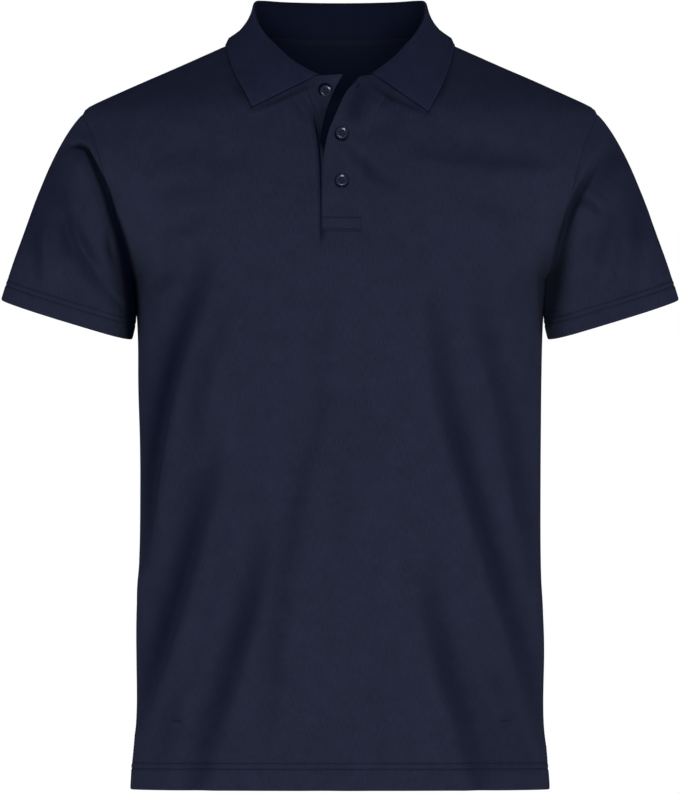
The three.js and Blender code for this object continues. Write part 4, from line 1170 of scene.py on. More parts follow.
def plain_sleeve(turn, along):
    """Points of the sleeve without folds: turn goes round it, and along is 0 at the armhole, 1 at the hem."""
    turn, along = np.broadcast_arrays(np.asarray(turn, float) % 360, np.asarray(along, float))
    share = np.where(turn <= 180, turn, 360 - turn) / 180
    level = SHOULDER_POINT + (UNDERARM - SHOULDER_POINT) * share
    start = np.where((turn <= 180)[..., None], point_on(FRONT_ARMHOLE, level), point_on(BACK_ARMHOLE, level))
    leaving = np.stack([around(SLEEVE_START, name, turn) for name in "xyz"], -1)
    angle = np.radians(turn)
    boxy = ease(turn, 85, 115) * (1 - ease(turn, 176, 180))
    full = CUFF["full"] + (CUFF["boxy"] - CUFF["full"]) * boxy
    soft = lambda value: np.sign(value) * np.abs(value) ** full
    out = CUFF["width"] * soft(np.cos(angle))
    end = np.stack(
        [
            CUFF["x"] + out * math.cos(CUFF["tilt"]),
            CUFF["back"] * (1 - np.cos(angle)) / 2 - CUFF["depth"] * soft(np.sin(angle)),
            CUFF["z"] + out * math.sin(CUFF["tilt"]) - CUFF["drop"] * np.sin(angle),
        ],
        -1,
    )
    lean = CUFF_LEAN["inside"] + (CUFF_LEAN["outside"] - CUFF_LEAN["inside"]) * (1 + np.cos(angle)) / 2
    arriving = lean[..., None] * np.array([math.sin(CUFF["tilt"]), 0, -math.cos(CUFF["tilt"])])
    t = along[..., None]
    ends = start * (1 + 2 * t) * (1 - t) ** 2 + end * t * t * (3 - 2 * t)
    return ends + leaving * t * (1 - t) ** 2 - arriving * t * t * (1 - t)


def sleeve_along(turn, from_hem):
    """The share along the sleeve that lies a given distance above its hem."""
    steps = evenly(0, 1, 60)
    line = plain_sleeve(np.asarray(turn)[:, None], steps[None, :])
    run = np.linalg.norm(np.diff(line, axis=1), axis=-1)[:, ::-1].cumsum(1)
    run = np.concatenate([np.zeros((len(line), 1)), run], 1)
    return np.stack([np.interp(from_hem, r, steps[::-1]) for r in run]), run[:, -1]


def sleeve_place(turn, along, folds, back_folds):
    """Outer points of the folded sleeve, and the normals of the form under the folds."""
    turn, along = np.broadcast_arrays(np.asarray(turn, float), np.asarray(along, float))
    point = plain_sleeve(turn, along)
    middle = (plain_sleeve(np.zeros_like(turn), along) + plain_sleeve(np.full_like(turn, 180), along)) / 2
    normal = normals_of(plain_sleeve, turn, np.clip(along, 0.004, 0.996), 0.6, 0.003, point - middle)
    x, z = point[..., 0].ravel(), point[..., 2].ravel()
    height = fold_height(folds, x, z).reshape(turn.shape) * ease(-normal[..., 1], 0, 0.5)
    height = height + fold_height(back_folds, x, z).reshape(turn.shape) * ease(normal[..., 1], 0, 0.5)
    height = height * ease(along, 0, 0.1) + 0.8 * ripple(point, 34, 1.5, 7.7) * ease(along, 0, 0.3)
    return point + normal * height[..., None], normal


print("cuffs lie", CUFF["x"], "mm out, tilted", round(math.degrees(CUFF["tilt"])), "degrees")

# %% Sleeve cloth
SLEEVE_TURNS = evenly(0, 360, 172)
FROM_HEM = np.array([0, 0.7, 1.6, 3, 6, 9, 12, 13.8, 15, 16.2, 18.8, 20, 21, 21.8, 24])


def sleeve(name, folds, back_folds, side):
    """A whole sleeve with its hem, its channels and its painted shade; side is 1 for the wearer's left."""
    upper, lengths = sleeve_along(SLEEVE_TURNS, FROM_HEM)
    body = [0, 0.008, 0.017, 0.027, 0.039, 0.053, *evenly(0.065, 1, 64)[:-1]]
    along = np.concatenate([np.outer(upper[:, -1], body), upper[:, ::-1]], 1).T
    turn = SLEEVE_TURNS[None, :] + 0 * along
    point, normal = sleeve_place(turn, along, folds, back_folds)
    from_hem = (1 - along) * lengths[None, :]
    from_hem[len(body) :] = FROM_HEM[::-1, None]
    from_seam = along * lengths[None, :]
    level = SHOULDER_POINT + (UNDERARM - SHOULDER_POINT) * np.minimum(turn, 360 - turn) / 180
    in_front = 1 - ease(turn, 176, 182)
    inside, dark = arm_fold(side, side * point[..., 0], point[..., 2])
    point[..., 1] += ARM_FOLD_DEPTH[side] * inside * on_armhole(level) * in_front
    shade = fold_shade(folds, point[..., 0].ravel(), point[..., 2].ravel()).reshape(turn.shape) * in_front
    sink = 0.15 * np.exp(-((from_seam / 2.0) ** 2)) - 0.5 * (from_hem <= SLEEVE_HEM)
    sink = sink + 0.7 * np.exp(-((from_hem / 0.9) ** 2))
    for line in SLEEVE_LINES:
        sink = sink + THREAD_SINK * np.exp(-(((from_hem - line) / 1.0) ** 2))
    point = point - normal * sink[..., None]
    # The first row is tucked under the edge of the armhole, so that no light comes through the seam.
    away = plain_sleeve(turn[0], along[0] + 0.02) - plain_sleeve(turn[0], along[0])
    point[0] -= unit(away) * 0.4 + normal[0] * 0.35
    point[..., 0] *= side
    normal = normal * np.array([side, 1, 1])
    thin = np.where(from_hem[:, 0] <= SLEEVE_HEM, 1.0, CLOTH / HEM_CLOTH)
    # Painted light on the front of the sleeve head, near the top of the armhole, which takes less of the even
    # painted shade, and more painted shade lower on the front, more on the right sleeve than on the left.
    caught = ease(level, 585, 625) * np.exp(-((from_seam / 26) ** 2)) * in_front
    turned = (0.2 if side < 0 else 0.1) * ease(from_seam, 30, 80) * ease(from_hem, 26, 76) * in_front
    painted_shade = np.maximum(EVEN_PAINTED_SHADE * (1 - caught) + turned, 0.15 * np.exp(-((from_seam / 1.2) ** 2)))
    painted_shade = 1 - (1 - painted_shade) * (1 - shade)
    for line in SLEEVE_LINES:
        painted_shade = np.maximum(painted_shade, 0.5 * np.exp(-(((from_hem - line) / 0.8) ** 2)))
    painted_shade = np.maximum(painted_shade, DEEPEST_SHADE * dark * (1 - ease(turn, 190, 215)))
    finish = (jersey, jersey_inside)
    return cloth(name, point, normal, HEM_CLOTH, finish, closed=True, thin=thin, painted_shade=painted_shade)


sleeve_left = sleeve("sleeve_left_cloth", LEFT_SLEEVE_FOLDS, LEFT_BACK_FOLDS, 1)
sleeve_right = sleeve("sleeve_right_cloth", RIGHT_SLEEVE_FOLDS, RIGHT_BACK_FOLDS, -1)

# %% [markdown]
# ## The placket
# Two folded bands are sewn into the cut in the front. The upper one, on the wearer's left, laps over the
# under one and carries the buttonholes. The shirt is open at the top button, so the upper band swings aside
# and curls a little forward, and the under band shows beside it. Each is laid on the front's own surface
# and moved out or in.

# %% Placket bands
BAND_WIDTH, BAND_CLOTH = 38, 2.0
BUTTON_PLACES = {
    "button_top": ("under", -14, -62.4),
    "button_middle": ("upper", 1.4, -106),
    "button_bottom": ("upper", 1.6, -150.4),
}
# The bands are sewn this far to the wearer's left of the two edges of the cut.
UPPER_SEWN, UNDER_SEWN = 1.6, -3
UNDER_CORNER_RISE = 6.0
BOX_LINES = (PLACKET_BOTTOM + 2.2, PLACKET_BOTTOM + 14.2)


def band_edges(band, at):
    """Where the sewn edge and the free edge of a band lie at a level, seen from the front."""
    if band == "upper":
        return column(PLACKET, "left", at) + UPPER_SEWN, column(PLACKET, "upper_free", at)
    return column(PLACKET, "right", at) + UNDER_SEWN, column(PLACKET, "under_free", at)


def band_place(band, share, at):
    """Outer points of a band, and their normals: share is 0 at the sewn edge and 1 at the free one."""
    share, at = np.broadcast_arrays(np.asarray(share, float), np.asarray(at, float))
    upper = band == "upper"
    seam, free = band_edges(band, at)
    x = seam + (free - seam) * share
    point, normal = panel_place(FRONT, across_at(FRONT, x, at), at)
    curl = column(PLACKET, "curl" if upper else "under_curl", at)
    sewn_down = 1.1 * (1 - ease(share, 0, 0.1))
    lift = 0.7 - sewn_down + 0.55 * curl * share**2 if upper else -(CLOTH + 0.6) - curl * share**2
    point = point + normal * lift[..., None]
    if not upper:
        point[..., 2] += UNDER_CORNER_RISE * share * ease(at, 720, NECKLINE)
    return point, normal


def band_cloth(name, band):
    """A folded band, pressed in under its buttons and along its stitches, with painted shade there too."""
    share = edged(0, BAND_WIDTH, 1.2)[None, :] / BAND_WIDTH
    at = edged(PLACKET_BOTTOM + 0.6, NECKLINE - 0.6, 1.4)
    at = np.unique(np.concatenate([at, [line + d for line in BOX_LINES for d in (-1, 0, 1)]]))[:, None]
    share, at = share + 0 * at, at + 0 * share
    point, normal = band_place(band, share, at)
    edge = np.minimum(share, 1 - share) * BAND_WIDTH
    puff = 0.35 * (1 - np.exp(-((edge / 2.6) ** 2)))
    # The band takes the painted shade of the front's folds.
    folded = fold_shade(FRONT_FOLDS, point[..., 0].ravel(), point[..., 2].ravel()).reshape(at.shape)
    painted_shade = np.maximum(folded, EVEN_PAINTED_SHADE)
    for home, x, z in BUTTON_PLACES.values():
        if home == band:
            away = np.hypot(point[..., 0] - x, point[..., 2] - z)
            # The cloth dips under each button and takes a painted shadow ring round its edge.
            pressed = np.exp(-((np.maximum(away - 6.0, 0) / 0.8) ** 4))
            puff = puff - 0.35 * pressed
            painted_shade = np.maximum(painted_shade, 0.95 * pressed)
    if band == "upper":
        # The box stitches pull channels that take painted shade.
        for line in BOX_LINES:
            puff = puff - 0.3 * np.exp(-(((at - line) / 0.9) ** 2))
            painted_shade = np.maximum(painted_shade, 0.5 * np.exp(-(((at - line) / 0.9) ** 2)))
    outer = point + normal * puff[..., None]
    return cloth(name, outer, normal, BAND_CLOTH, (band_jersey, band_jersey), painted_shade=painted_shade, round_edge=0.5)


placket_upper = band_cloth("placket_upper_band", "upper")
placket_under = band_cloth("placket_under_band", "under")

# %% [markdown]
# ## The collar
# A polo collar is one flat-knitted strip with no seam. It stands up from the neckline, rolls over and lies
# down on the shoulders. At each place round the neck a smooth curve runs up the stand, over the roll and
# down the leaf, and its lower edge rests just clear of the panel below, which keeps the points where they
# belong.

# %% Points on the collar
COLLAR_BACK = rows(
    "turn rise lean roll sag x y z",
    (0, 37, 0, 8, 3, 0, 84, -17),
    (35, 37, 0, 8, 5, 52, 76, -19),
    (65, 36, -2, 7, 11, 89, 47, -20),
    (90, 32, -3, 5, 16, 107, 8, -16.5),
)
COLLAR_LEFT = rows(
    "turn rise lean roll sag x y z",
    (112, 27, 1, 6, 12, 106, 0, -27),
    (130, 20, 2, 7, 6, 101, 0, -44),
    (144, 11, 3, 6, 1, 94, 0, -62),
    (158, 1.5, 2.5, 3, 0, 82, 0, -85),
)
COLLAR_RIGHT = rows(
    "turn rise lean roll sag x y z",
    (112, 27, 1, 6, 12, 105, 0, -28),
    (132, 20, 2, 7, 6, 99, 0, -46),
    (149, 10, 3, 6, 1, 91, 0, -62),
    (165, 1.5, 2.5, 3, 0, 81.5, 0, -81),
)
COLLAR_CLOTH = 2.0
LEAF_LIFT = 3.2


def neckline_place(turn):
    """Points round the neckline, from 0 at the back to 180 in front, their normals and the way inwards."""
    front = turn > 90
    across = np.where(front, 180 - turn, turn) / 90
    parts = []
    for panel in (FRONT, BACK):
        point, normal = panel_place(panel, across, np.full_like(across, NECKLINE))
        below, _ = panel_place(panel, across, np.full_like(across, NECKLINE - 4))
        parts.append((point, normal, unit(point - below)))
    return [np.where(front[:, None], a, b) for a, b in zip(*parts)]


def collar_controls(table, turn):
    """Six points at each place round the neck, from the seam over the roll to the collar's outer edge."""
    value = lambda name: column(table, name, turn, "turn")[:, None]
    seam, normal, inward = neckline_place(turn)
    start = seam + inward * SEAM_GAP - normal * 0.7
    flat = unit(normal * np.array([1, 1, 0]))
    leaving = start + inward * 2.5
    top = start + flat * value("lean") + np.array([0, 0, 1]) * value("rise")
    over = top + flat * value("roll")
    edge = np.concatenate([value("x"), value("y"), value("z")], 1)
    front = turn > 90
    rest, rest_normal = place_on_front(edge[front, 0], edge[front, 2])
    edge[front] = rest + rest_normal * (LEAF_LIFT + COLLAR_CLOTH / 2)
    rest, _ = place_on_back(edge[~front, 0], edge[~front, 1])
    edge[~front, 2] = np.maximum(edge[~front, 2], rest[:, 2] + LEAF_LIFT + COLLAR_CLOTH)
    middle = (over + edge) / 2 - flat * value("sag")
    return np.stack([start, leaving, top, over, middle, edge], 1)


def spline_weights(t):
    """How much each of six control points counts along a smooth clamped curve."""
    knots = np.array([0, 0, 0, 0, 1, 2, 3, 3, 3, 3], float)
    place = np.minimum(np.asarray(t) * 3, 3 - 1e-9)
    basis = [((knots[k] <= place) & (place < knots[k + 1])).astype(float) for k in range(9)]
    for degree in (1, 2, 3):
        raised = []
        for k in range(9 - degree):
            left, right = knots[k + degree] - knots[k], knots[k + degree + 1] - knots[k + 1]
            part = (place - knots[k]) / left * basis[k] if left else 0
            part = part + ((knots[k + degree + 1] - place) / right * basis[k + 1] if right else 0)
            raised.append(part)
        basis = raised
    return np.stack(basis, -1)


print("collar stands", COLLAR_BACK[0]["rise"], "mm high at the back")

# %% Collar cloth
LEAF_CREASES = [
    fold((62, -40), (78, -58), (84, -74), wide=5, deep=0.9),
    fold((88, -24), (94, -44), wide=6, deep=0.8),
    fold((-84, -34), (-70, -58), wide=6, deep=0.9),
]
HALF_STEPS = 84


def collar_half(table, side):
    """Points of half the collar, from the middle of the back to its tip, and their places on the curve."""
    turn = evenly(0, table[-1]["turn"], HALF_STEPS)
    controls = collar_controls(table, turn)
    t = np.concatenate([[0, 0.012], evenly(0.03, 0.97, 30), [0.985, 1]])
    points = np.einsum("tk,nkc->ntc", spline_weights(t), controls)
    points[..., 0] *= side
    return points, t


left_points, collar_t = collar_half(COLLAR_BACK + COLLAR_LEFT, 1)
right_points, _ = collar_half(COLLAR_BACK + COLLAR_RIGHT, -1)
collar_points = np.concatenate([right_points[::-1][:-1], left_points])
collar_normals = unit(np.cross(np.gradient(collar_points, axis=0), np.gradient(collar_points, axis=1)))
# At the middle of the back the leaf faces backwards.
leaf_faces_back = collar_normals[HALF_STEPS, -4, 1] > 0
collar_normals *= 1 if leaf_faces_back else -1
collar_x, collar_z = collar_points[..., 0].ravel(), collar_points[..., 2].ravel()
crease = fold_height(LEAF_CREASES, collar_x, collar_z).reshape(collar_points.shape[:2])
leaf = ease(collar_t, 0.62, 0.8)[None, :] * (collar_points[..., 1] < 20)
rim = 0.45 * np.exp(-(((1 - collar_t[None, :]) * 60 / 2.2) ** 2))
height = crease * leaf + rim + 0.4 * ripple(collar_points, 24, 1.0, 2.2) * leaf + COLLAR_CLOTH / 2
# The stand, up to the top of the roll, takes painted shade, as it lies in the shade of the neck opening.
roll_top = collar_points[..., 2].argmax(1)[:, None]
place_on_curve = np.arange(collar_t.size)[None, :]
in_shade = 0.62 * (1 - ease(place_on_curve, roll_top - 1.5, roll_top + 0.5))
# Painted shade on the leaf, a little darker beside the roll and lighter towards its outer edge.
towards_edge = ease(collar_t[None, :], 0.72, 1)
leaf_shade = 0.22 * ease(place_on_curve, roll_top + 1, roll_top + 3.5) * (1 - 0.75 * towards_edge)
in_shade = np.maximum(in_shade, leaf_shade)
print("collar:", collar_points.shape[0], "places round the neck,", collar_points.shape[1], "over the roll")

# %% Edges of the collar
# Each added row lies this far out and down from the edge, in millimetres, and takes this much painted shade.
EDGE_ROWS = ((0.35, 0.6, 0.55), (1.15, 1.9, 0.92))


def rolled_edge(points, normals, shade, ahead):
    """Two more rows past an edge, where the thick knit turns down and painted shade stands for the lost
    light.
    """
    more = [points + ahead * out - normals * down for out, down, _ in EDGE_ROWS]
    return more, [np.maximum(shade, dark) for _, _, dark in EDGE_ROWS]


def joined_on(grid, more, end):
    """A grid with rows joined on before its first row (end 0) or after its last (end -1)."""
    more = [row[None] for row in more]
    return np.concatenate([*more[::-1], grid] if end == 0 else [grid, *more])


collar_outer = collar_points + collar_normals * height[..., None]
ahead = unit(collar_outer[:, -1] - collar_outer[:, -2])
more, more_shade = rolled_edge(collar_outer[:, -1], collar_normals[:, -1], in_shade[:, -1], ahead)
collar_outer = np.concatenate([collar_outer, *(m[:, None] for m in more)], 1)
collar_shade = np.concatenate([in_shade, *(m[:, None] for m in more_shade)], 1)
collar_normals = np.concatenate([collar_normals, *[collar_normals[:, -1:]] * 2], 1)
for end, inner in ((0, 2), (-1, -3)):
    leaf_only = 0.12 + 0.88 * ease(evenly(0, 1, collar_outer.shape[1] - 1), 0.5, 0.66)[:, None]
    ahead = unit(collar_outer[end] - collar_outer[inner]) * leaf_only
    end_shade = collar_shade[end]
    more, more_shade = rolled_edge(collar_outer[end], collar_normals[end] * leaf_only, end_shade, ahead)
    more_shade = [end_shade + (shade - end_shade) * leaf_only[:, 0] for shade in more_shade]
    collar_outer = joined_on(collar_outer, more, end)
    collar_shade = joined_on(collar_shade, more_shade, end)
    collar_normals = joined_on(collar_normals, [collar_normals[end]] * 2, end)
collar = cloth(
    "collar_knit_piece",
    collar_outer,
    collar_normals,
    COLLAR_CLOTH,
    (collar_rib, collar_rib),
    painted_shade=collar_shade,
    round_edge=0.6,
)

# %% [markdown]
# ## Neck tape
# The seam where the collar joins the back is covered inside with a narrow tape, sewn along both edges. It
# lies on the inside of the back panel, just below the stand.

# %% Neck tape
TAPE_DROP, TAPE_REACH = 9.0, 84.0
TAPE_SET_IN, TAPE_CLOTH = 2.1, 0.9
tape_at = evenly(NECKLINE - TAPE_DROP, NECKLINE - 1, 5)[:, None]
tape_across = evenly(-TAPE_REACH, TAPE_REACH, 80)[None, :] / 90
tape_points, tape_normals = panel_place(BACK, tape_across + 0 * tape_at, tape_at + 0 * tape_across)
tape_points = tape_points - tape_normals * TAPE_SET_IN
neck_tape = cloth(
    "neck_tape_cloth", tape_points, tape_normals, TAPE_CLOTH, (twill_tape, twill_tape), round_edge=0.25
)

# %% [markdown]
# ## Buttons
# Each button is turned from resin: a flat disc with a raised rim, a shallow dish and four holes. A lathe
# profile spun round its axis gives the disc, and four drills are cut from it. The edges are rounded,
# because the rim's highlight is what makes such a small dark button readable.

# %% Button shape
BUTTON_PROFILE = (
    (0.0, 0.0), (4.9, 0.0), (5.55, 0.2), (5.85, 0.6), (5.75, 1.1), (5.4, 1.9), (5.05, 2.35),
    (4.7, 2.55), (4.35, 2.5), (4.0, 2.25), (3.6, 2.0), (3.1, 1.88), (0.0, 1.85),
)
HOLE_RADIUS, HOLE_SPREAD = 0.84, 1.4
BUTTON_LIFT = 0.75
# Edges that turn by more than these angles, in degrees, stay sharp in the shading.
SHARP_PIECE, SHARP_DRILLED = 35, 40


def button_disc():
    """A button without holes, spun from half its outline round the z axis."""
    disc = bmesh.new()
    ring = [disc.verts.new((r, 0, h)) for r, h in BUTTON_PROFILE]
    edges = [disc.edges.new(pair) for pair in zip(ring, ring[1:])]
    bmesh.ops.spin(
        disc,
        geom=ring + edges,
        cent=(0, 0, 0),
        axis=(0, 0, 1),
        angle=2 * math.pi,
        steps=56,
        use_merge=True,
        use_duplicate=False,
    )
    bmesh.ops.remove_doubles(disc, verts=disc.verts, dist=1e-4)
    bmesh.ops.recalc_face_normals(disc, faces=disc.faces)
    return disc


def button_seat(band, x, z):
    """The place on a band that is seen from the front at x and z."""
    level = float(level_at(FRONT, np.array([x]), np.array([z]), 2, 300)[0])
    seam, free = band_edges(band, level)
    share = float((x - seam) / (free - seam))
    point, normal = band_place(band, np.array([share]), np.array([level]))
    surface = lambda u, v: band_place(band, u, v)[0]
    tilt = normals_of(surface, np.array([share]), np.array([level]), 0.05, 2.0, normal)
    return Vector(point[0]), Vector(tilt[0]), share, level


def seated(place, normal, spin):
    """The frame of a button: its z axis leaves the cloth, and spin turns its holes."""
    up = normal.to_track_quat("Z", "Y").to_matrix().to_4x4()
    return Matrix.Translation(place * MM) @ up @ Matrix.Rotation(spin, 4, "Z") @ Matrix.Scale(MM, 4)


def made_piece(name, shape):
    """A finished piece from a shape, with smooth faces."""
    mesh = bpy.data.meshes.new(name)
    shape.to_mesh(mesh)
    shape.free()
    for face in mesh.polygons:
        face.use_smooth = True
    mesh.set_sharp_from_angle(angle=math.radians(SHARP_PIECE))
    piece = bpy.data.objects.new(name, mesh)
    bpy.context.scene.collection.objects.link(piece)
    return piece


def drilled(disc_piece, drills):
    """The disc with its holes cut; the drills are thrown away."""
    cut = disc_piece.modifiers.new("holes", "BOOLEAN")
    cut.operation = "DIFFERENCE"
    cut.object = drills
    bpy.context.view_layer.update()
    mesh = bpy.data.meshes.new_from_object(disc_piece.evaluated_get(bpy.context.evaluated_depsgraph_get()))
    disc_piece.modifiers.clear()
    disc_piece.data = mesh
    mesh.set_sharp_from_angle(angle=math.radians(SHARP_DRILLED))
    bpy.data.objects.remove(drills)
    return disc_piece


# %% Cut, drill and seat the buttons
buttons = {}
button_frames = {}
for name, (band, x, z) in BUTTON_PLACES.items():
    place, normal, _, _ = button_seat(band, x, z)
    holder = seated(place + normal * BUTTON_LIFT, normal, 0.35 * len(buttons))
    disc = button_disc()
    bmesh.ops.transform(disc, matrix=holder, verts=disc.verts)
    drill = bmesh.new()
    for sx in (-1, 1):
        for sy in (-1, 1):
            spot = holder @ Matrix.Translation((sx * HOLE_SPREAD, sy * HOLE_SPREAD, 1.2))
            size = {"radius1": HOLE_RADIUS, "radius2": HOLE_RADIUS, "depth": 6}
            bmesh.ops.create_cone(drill, cap_ends=True, segments=16, matrix=spot, **size)
    buttons[name] = drilled(made_piece(name + "_disc", disc), made_piece(name + "_drill", drill))
    button_frames[name] = holder
    print(name, "at", [round(v, 1) for v in place])

# %% [markdown]
# ## Stitches
# Thread is real geometry, because it throws the tiny shadows that make a hem look sewn. One stitch is a
# slim bead of twenty faces, set along the seam, a little sunk into the cloth. Rows of them make the hems,
# the box that closes the placket, the tape, the vents' tacks, the buttonholes and the thread through each
# button.


# %% Stitch helpers
def add_stitch(shape, middle, along, normal, length, thick):
    """One stitch, long in the direction along and flat against the cloth."""
    along, normal = Vector(along).normalized(), Vector(normal).normalized()
    side = normal.cross(along).normalized()
    turn = Matrix((along, side, along.cross(side))).transposed().to_4x4()
    size = Matrix.Diagonal((length / 2 * MM, thick / 2 * MM, thick / 2.4 * MM, 1))
    place = Matrix.Translation(Vector(middle) * MM) @ turn @ size
    bmesh.ops.create_icosphere(shape, subdivisions=1, radius=1, matrix=place)


def stitch_row(shape, points, normals, length=2.7, gap=0.5, thick=0.5, lift=-0.28):
    """A row of stitches along closely spaced points on the cloth."""
    run = np.concatenate([[0], np.linalg.norm(np.diff(points, axis=0), axis=-1).cumsum()])
    count = max(1, int(run[-1] / (length + gap)))
    centres = (np.arange(count) + 0.5) * run[-1] / count
    at = lambda where: np.stack([np.interp(where, run, points[:, n]) for n in range(3)], -1)
    facing = np.stack([np.interp(centres, run, normals[:, n]) for n in range(3)], -1)
    middles, ahead, behind = at(centres), at(centres + 0.5), at(centres - 0.5)
    for m, a, b, n in zip(middles, ahead, behind, facing):
        add_stitch(shape, m + n * lift, a - b, n, length, thick)
    return count


# %% Hem and cuff stitches
stitch_counts = {"hem": 0, "cuffs": 0}
hem_thread = bmesh.new()
for panel in (FRONT, BACK):
    for line in HEM_LINES:
        across = evenly(-0.985, 0.985, 500)
        points, normals = finish_panel(panel, across, np.full_like(across, line))
        stitch_counts["hem"] += stitch_row(hem_thread, points, normals, lift=0.08)
hem_stitches = made_piece("hem_stitches", hem_thread)

SLEEVE_SIDES = ((1, LEFT_SLEEVE_FOLDS, LEFT_BACK_FOLDS), (-1, RIGHT_SLEEVE_FOLDS, RIGHT_BACK_FOLDS))
sleeve_thread = bmesh.new()
for side, folds, back_folds in SLEEVE_SIDES:
    for line in SLEEVE_LINES:
        turn = evenly(0, 360, 360)
        along, _ = sleeve_along(turn, np.array([line]))
        points, normals = sleeve_place(turn, along[:, 0], folds, back_folds)
        points = points + normals * (0.5 - THREAD_SINK)
        mirror = np.array([side, 1, 1])
        stitch_counts["cuffs"] += stitch_row(sleeve_thread, points * mirror, normals * mirror, lift=0.08)
cuff_stitches = made_piece("cuff_stitches", sleeve_thread)
print("stitches:", stitch_counts)


# %% Placket and tape stitches
def band_row(shape, band, shares, levels, **size):
    """A row of stitches on a band."""
    points, normals = band_place(band, shares, levels)
    return stitch_row(shape, points + normals * 0.35, normals, **size)


placket_thread = bmesh.new()
along_box = evenly(0.05, 0.97, 60)
for level in BOX_LINES:
    band_row(placket_thread, "upper", along_box, np.full_like(along_box, level), lift=0.05)
for share in (0.05, 0.97):
    band_row(placket_thread, "upper", np.full(20, share), np.linspace(*BOX_LINES, 20), lift=0.05)
placket_stitches = made_piece("placket_stitches", placket_thread)

tape_thread = bmesh.new()
for level in (NECKLINE - TAPE_DROP + 1.2, NECKLINE - 2.2):
    across = evenly(-TAPE_REACH, TAPE_REACH, 200) / 90
    points, normals = panel_place(BACK, across, np.full_like(across, level))
    points = points - normals * (TAPE_SET_IN + TAPE_CLOTH)
    stitch_row(tape_thread, points, -normals, length=2.2, lift=0.05, thick=0.4)
tape_stitches = made_piece("tape_stitches", tape_thread)
for piece in (placket_stitches, tape_stitches):
    print(piece.name, len(piece.data.polygons), "faces")

# %% Vent stitches and the tacks above the vents
# The row beside a vent runs 9 mm from the edge of a panel that is 305 mm from its middle to its side.
VENT_ROW = 1 - 9 / 305
TACK_PLACES, TACK_LEVELS, TACK_REACH = (-152, 153), (-653.6, -654.4), 5.5
vent_thread = bmesh.new()
for panel in (FRONT, BACK):
    for side in (-1, 1):
        levels = evenly(28, VENT_TOP + 3, 40)
        across = side * np.full_like(levels, VENT_ROW)
        points, normals = finish_panel(panel, across, levels)
        stitch_row(vent_thread, points, normals, lift=0.06)
        level = np.full(12, VENT_TOP + 3.0)
        points, normals = finish_panel(panel, side * np.linspace(VENT_ROW, 0.999, 12), level)
        stitch_row(vent_thread, points, normals, lift=0.06)
for x in TACK_PLACES:
    for z in TACK_LEVELS:
        points, normals = place_on_front(np.linspace(x - TACK_REACH, x + TACK_REACH, 12), np.full(12, z))
        stitch_row(vent_thread, points, normals, length=1.6, gap=0.2, thick=0.8, lift=0.2)
vent_stitches = made_piece("vent_stitches", vent_thread)
print(vent_stitches.name, len(vent_stitches.data.polygons), "faces")

# %% Buttonholes
HOLE_LENGTH = 13.5
holes_thread = bmesh.new()
slits = bmesh.new()
HOLE_PLACES = {"top": (16.5, -60.5), "middle": (1.5, -107), "bottom": (1.8, -151)}
for name, (x, z) in HOLE_PLACES.items():
    place, normal, share, level = button_seat("upper", x, z)
    levels = np.linspace(level - HOLE_LENGTH / 2, min(level + HOLE_LENGTH / 2, NECKLINE - 3), 26)
    for edge in (-1, 1):
        points, normals = band_place("upper", np.full_like(levels, share + edge * 0.9 / BAND_WIDTH), levels)
        run = np.gradient(points, axis=0)
        for p, n, r in zip(points, normals, run):
            add_stitch(holes_thread, p + n * 0.42, np.cross(n, r), n, 1.3, 0.42)
    for end in (0, -1):
        shares = share + np.linspace(-1.2, 1.2, 5) / BAND_WIDTH
        points, normals = band_place("upper", shares, np.full(5, levels[end]))
        for p, n in zip(points, normals):
            add_stitch(holes_thread, p + n * 0.42, (0, 0, 1), n, 1.5, 0.45)
    # Dark beads down the middle of each buttonhole are a painted shadow in its cut.
    points, normals = band_place("upper", np.full(8, share), np.linspace(levels[1], levels[-2], 8))
    for p, n, r in zip(points, normals, np.gradient(points, axis=0)):
        add_stitch(slits, p + n * 0.3, r, n, 2.6, 0.5)
buttonholes = made_piece("buttonhole_stitches", holes_thread)
buttonhole_slits = made_piece("buttonhole_slits", slits)
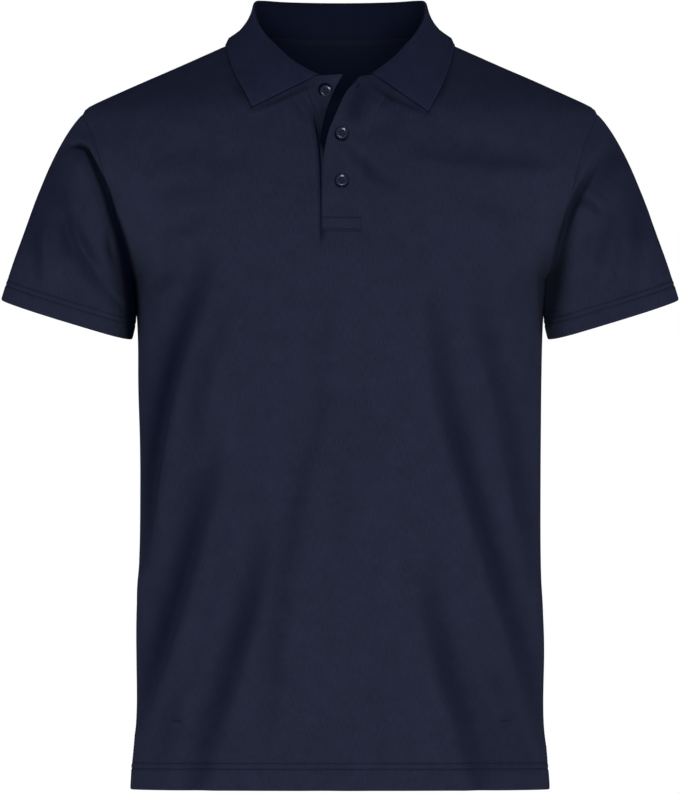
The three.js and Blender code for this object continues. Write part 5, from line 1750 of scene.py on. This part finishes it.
print(len(HOLE_PLACES), "buttonholes of", HOLE_LENGTH, "mm")

# %% Button thread
# The shank is a short cone of thread between a button and its band.
SHANK = {"radius1": 1.9, "radius2": 1.6, "depth": 1.1}
button_thread = bmesh.new()
for holder in button_frames.values():
    for sy in (-1, 1):
        for strand in (-0.24, 0.0, 0.24):
            middle = holder @ Vector((0, sy * HOLE_SPREAD + strand, 1.98))
            along = (holder @ Vector((1, 0, 0))) - holder.translation
            up = (holder @ Vector((0, 0, 1))) - holder.translation
            add_stitch(button_thread, middle / MM, along, up, 2 * HOLE_SPREAD + 1.0, 0.34)
    spot = holder @ Matrix.Translation((0, 0, -0.2))
    bmesh.ops.create_cone(button_thread, cap_ends=True, segments=16, matrix=spot, **SHANK)
button_threads = made_piece("button_threads", button_thread)
print(button_threads.name, len(button_threads.data.polygons), "faces")

# %% [markdown]
# ## Dress each piece
# Every piece of cloth stands for the plain wall of the same cut, which is hidden, and rides with the shirt.
# A piece that has no finish yet is given one.

# %% Materials and frame
DRESSING = (
    (front_panel, jersey, "jersey", "front"),
    (back_panel, jersey, "jersey", "back"),
    (sleeve_left, jersey, "jersey", "sleeve_left"),
    (sleeve_right, jersey, "jersey", "sleeve_right"),
    (placket_upper, band_jersey, "jersey", "placket_upper"),
    (placket_under, band_jersey, "jersey", "placket_under"),
    (collar, collar_rib, "collar_knit", "collar"),
    (neck_tape, twill_tape, "neck_tape", "neck_tape"),
    (hem_stitches, thread, "jersey", None),
    (cuff_stitches, thread, "jersey", None),
    (placket_stitches, thread, "jersey", None),
    (tape_stitches, thread, "neck_tape", None),
    (vent_stitches, thread, "jersey", None),
    (buttonholes, thread, "jersey", None),
    (buttonhole_slits, slit_shadow_paint, "jersey", None),
    (button_threads, thread, "jersey", None),
    *((buttons[name], resin, "button", name) for name in BUTTON_PLACES),
)
for piece, material, slot, node in DRESSING:
    if not piece.data.materials:
        piece.data.materials.append(material)
    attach(piece, "root")
    if node:
        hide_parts(node)
print(len(DRESSING), "pieces dressed")
